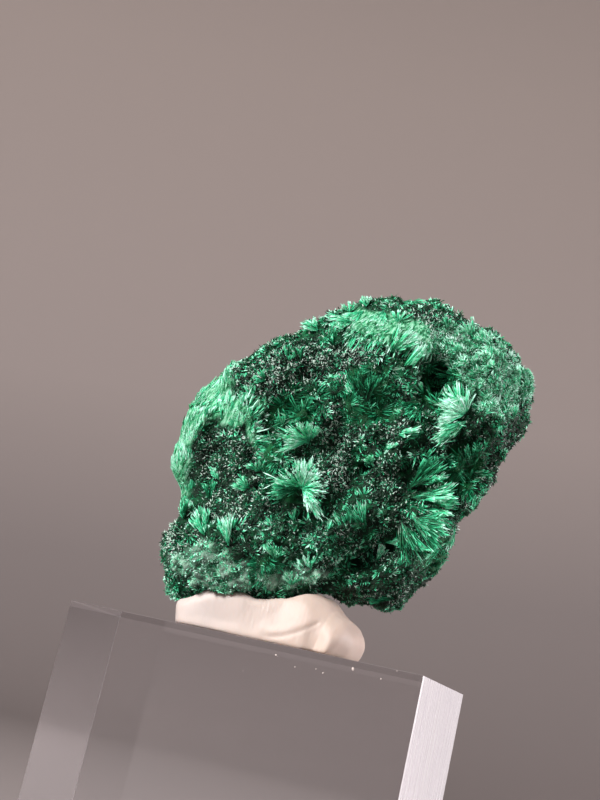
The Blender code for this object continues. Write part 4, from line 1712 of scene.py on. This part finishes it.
@dataclass
class DisplayBlock:
    """The clear acrylic block: polished in front and behind, sawn at its sides."""

    arris: float = 0.0004
    fine_share: float = 0.12
    specks: tuple[tuple[Pixel, float], ...] = (
        ((276, 655), 0.15), ((353, 669), 0.22), ((375, 665), 0.16), ((323, 673), 0.14),
        ((316, 669), 0.09), ((295, 667), 0.09), ((381, 679), 0.12), ((243, 671), 0.06),
        ((145, 640), 0.06), ((397, 671), 0.08),
    )

    def build(self) -> list[Piece]:
        """Make the block and the dust on it.

        Returns:
            The block and its dust.
        """
        low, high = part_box("acrylic_block")
        shape = bmesh.new()
        place = Matrix.Translation((low + high) / 2) @ Matrix.Diagonal((*(high - low), 1.0))
        bmesh.ops.create_cube(shape, size=1.0, matrix=place)
        fine = self.arris * self.fine_share
        for front_right, width, segments in ((True, self.arris, 2), (False, fine, 1)):
            kept = [edge for edge in shape.edges if not self.is_rear_top(edge, high)]
            corners = [edge for edge in kept if self.is_front_right(edge) is front_right]
            sharp = [edge for edge in corners if edge.calc_face_angle(0.0) > 1.2]
            bmesh.ops.bevel(
                shape, geom=sharp, offset=width, segments=segments, profile=0.5, affect="EDGES"
            )
        for face in shape.faces:
            face.material_index = 1 if face.normal.x > 0.9 else 2 if face.normal.x < -0.9 else 0
        mesh = bpy.data.meshes.new("block_body")
        shape.to_mesh(mesh)
        shape.free()
        piece = bpy.data.objects.new("block_body", mesh)
        bpy.context.scene.collection.objects.link(piece)
        mesh.materials.append(self.polished())
        mesh.materials.append(self.sawn("acrylic_sawn", 0.28, 0.5))
        mesh.materials.append(self.sawn("acrylic_cut", 0.97, 0.03))
        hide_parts("acrylic_block")
        return [piece, self.dust(low, high)]

    def is_rear_top(self, edge: bmesh.types.BMEdge, high: Vector) -> bool:
        """Say whether an edge is the level one at the rear of the top, which is left sharp."""
        return all(vert.co.y > 0.0 and vert.co.z > high.z - 1e-6 for vert in edge.verts)

    def is_front_right(self, edge: bmesh.types.BMEdge) -> bool:
        """Say whether an edge is the upright one at the front right, whose arris is the widest."""
        first, second = (vert.co for vert in edge.verts)
        return abs(first.z - second.z) > 0.01 and first.x > 0.0 and first.y < 0.0

    def polished(self) -> Material:
        """Clear acrylic with faint wiping marks.

        Returns:
            The material.
        """
        material, pen, shader = principled("acrylic_polished")
        shader.inputs["Base Color"].default_value = (0.96, 0.955, 0.97, 1.0)
        shader.inputs["Transmission Weight"].default_value = 1.0
        shader.inputs["IOR"].default_value = ACRYLIC_IOR
        marks = add_grain(pen, 300.0, (0.3, 1.0, 1.0))
        rough = pen.sum("MULTIPLY", pen.sum("SUBTRACT", marks.outputs["Value"], 0.52, clamp=True), 0.12)
        pen.join(rough, shader.inputs["Roughness"])
        return material

    def sawn(self, name: str, clear: float, strength: float) -> Material:
        """Dress a side that keeps the upright marks of the saw.

        Args:
            name: The material's name.
            clear: How much light it lets through, from 0 to 1.
            strength: How strong its marks are, from 0 to 1.

        Returns:
            The material.
        """
        material, pen, shader = principled(name)
        marks = add_grain(pen, 260.0, (1.0, 5.0, 0.10))
        stops = ((0.30, (0.90, 0.87, 0.92)), (0.70, (1.0, 0.98, 1.0)))
        pen.join(pen.ramp(marks.outputs["Value"], stops), shader.inputs["Base Color"])
        shader.inputs["Transmission Weight"].default_value = clear
        shader.inputs["IOR"].default_value = ACRYLIC_IOR
        grain = pen.sum("MULTIPLY", marks.outputs["Fine"], 0.5 * strength)
        rough = pen.sum("ADD", grain, 0.3 * strength)
        pen.join(rough, shader.inputs["Roughness"])
        bump = pen.add("ShaderNodeBump")
        bump.inputs["Strength"].default_value = strength
        bump.inputs["Distance"].default_value = 0.00012
        pen.join(marks.outputs["Value"], bump.inputs["Height"])
        pen.join(bump.outputs[0], shader.inputs["Normal"])
        return material

    def dust(self, low: Vector, high: Vector) -> Piece:
        """Make the putty crumbs that stick to the block's front.

        Args:
            low: The block's lowest corner.
            high: Its highest corner.

        Returns:
            The crumbs as one piece.
        """
        shape = bmesh.new()
        drawn = np.random.default_rng(SEED + 1)
        for pixel, radius in self.specks:
            sight = CAMERA.sight(pixel)
            share = (low.y - CAMERA.place[1]) / sight.y
            at = Vector(CAMERA.place) + sight * share
            if not (low.x < at.x < high.x and low.z < at.z < high.z):
                continue
            size = radius * MM * drawn.uniform(0.6, 0.8)
            turn = Matrix.Rotation(drawn.uniform(0, 3.0), 4, "Y")
            turn = turn @ Matrix.Diagonal((size * 1.4, size * 0.6, size, 1.0))
            place = Matrix.Translation(at) @ turn
            bmesh.ops.create_icosphere(shape, subdivisions=2, radius=1.0, matrix=place)
        mesh = bpy.data.meshes.new("putty_crumbs")
        shape.to_mesh(mesh)
        shape.free()
        material, _, shader = principled("crumb_white")
        shader.inputs["Base Color"].default_value = (*linear(196, 184, 178), 1.0)
        shader.inputs["Roughness"].default_value = 0.6
        mesh.materials.append(material)
        piece = bpy.data.objects.new("putty_crumbs", mesh)
        bpy.context.scene.collection.objects.link(piece)
        return piece


@dataclass
class Studio:
    """A pale floor that sweeps up all round into a plain backdrop, with soft lights."""

    floor_radius: float = 0.9
    sweep: float = 0.5
    wall_height: float = 2.4
    drop: float = 0.0002
    curve_steps: int = 12
    turn_steps: int = 72
    air: float = 0.14

    def build(self) -> None:
        """Make the sweep and the lights."""
        profile = [(0.0, -self.drop), (self.floor_radius, -self.drop)]
        for step in range(1, self.curve_steps + 1):
            angle = math.radians(90.0 * step / self.curve_steps)
            across = self.floor_radius + self.sweep * math.sin(angle)
            profile.append((across, self.sweep * (1.0 - math.cos(angle)) - self.drop))
        profile.append((self.floor_radius + self.sweep, self.wall_height))
        shape = bmesh.new()
        verts = [shape.verts.new((x, 0.0, z)) for x, z in profile]
        edges = [shape.edges.new(pair) for pair in zip(verts, verts[1:])]
        bmesh.ops.spin(
            shape, geom=verts + edges, cent=(0, 0, 0), axis=(0, 0, 1), angle=math.tau,
            steps=self.turn_steps,
        )
        bmesh.ops.remove_doubles(shape, verts=shape.verts, dist=1e-5)
        bmesh.ops.recalc_face_normals(shape, faces=shape.faces)
        mesh = bpy.data.meshes.new("studio_sweep")
        shape.to_mesh(mesh)
        shape.free()
        mesh.shade_smooth()
        mesh.materials.append(self.paper())
        sweep = bpy.data.objects.new("studio_sweep", mesh)
        bpy.context.scene.collection.objects.link(sweep)
        self.light("key", (-0.53, -0.84, 0.54), size=0.30, power=22.4, colour=(1.0, 0.985, 0.97))
        self.light("side", (0.90, 0.34, 0.32), size=0.5, power=12.0, colour=(1.0, 0.95, 0.96))
        world = bpy.data.worlds.new("studio_air")
        world.use_nodes = True
        background = world.node_tree.nodes["Background"]
        background.inputs["Color"].default_value = (1.0, 0.99, 0.985, 1.0)
        background.inputs["Strength"].default_value = self.air
        bpy.context.scene.world = world

    def paper(self) -> Material:
        """Dress the sweep: plain taupe grey, with painted light that makes it a little paler towards
        its top left and darker low down.

        Returns:
            The material.
        """
        material, pen, shader = principled("studio_paper")
        place = pen.add("ShaderNodeTexCoord")
        parts = pen.add("ShaderNodeSeparateXYZ")
        pen.join(place.outputs["Object"], parts.inputs[0])
        # Painted light: the colour is paler higher up and towards the left, and darker low down and to
        # the right.
        aside = pen.sum("MULTIPLY", parts.outputs["X"], 0.12)
        value = pen.sum("SUBTRACT", parts.outputs["Z"], aside, clamp=True)
        stops = (
            (0.06, linear(140, 131, 130)), (0.24, linear(148, 139, 138)),
            (0.46, linear(174, 163, 160)), (0.90, linear(184, 172, 167)),
        )
        pen.join(pen.ramp(value, stops), shader.inputs["Base Color"])
        shader.inputs["Roughness"].default_value = 0.9
        return material

    def light(self, name: str, place: Place, size: float, power: float, colour: Colour) -> None:
        """Add one soft light that faces the stone.

        Args:
            name: Its name.
            place: Where it hangs, from the middle of the block's foot.
            size: The side of its square, in metres.
            power: Its power in watts.
            colour: Its colour.
        """
        data = bpy.data.lights.new(name, "AREA")
        data.size = size
        data.energy = power
        data.color = colour
        lamp = bpy.data.objects.new(name, data)
        lamp.location = place
        lamp.visible_transmission = False
        lamp.rotation_euler = (STONE_CENTRE - Vector(place)).to_track_quat("-Z", "Y").to_euler()
        bpy.context.scene.collection.objects.link(lamp)


def main() -> None:
    """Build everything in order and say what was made."""
    logging.basicConfig(level=logging.INFO, format="%(name)s: %(message)s")
    CAMERA.make()
    Studio().build()
    bpy.context.scene.view_settings.view_transform = "Standard"
    for part in (Malachite(), PuttyWad(), DisplayBlock()):
        for piece in part.build():
            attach(piece, BODY)
            LOG.info("%s has %d faces", piece.name, len(piece.data.polygons))


if __name__ == "__main__":
    main()
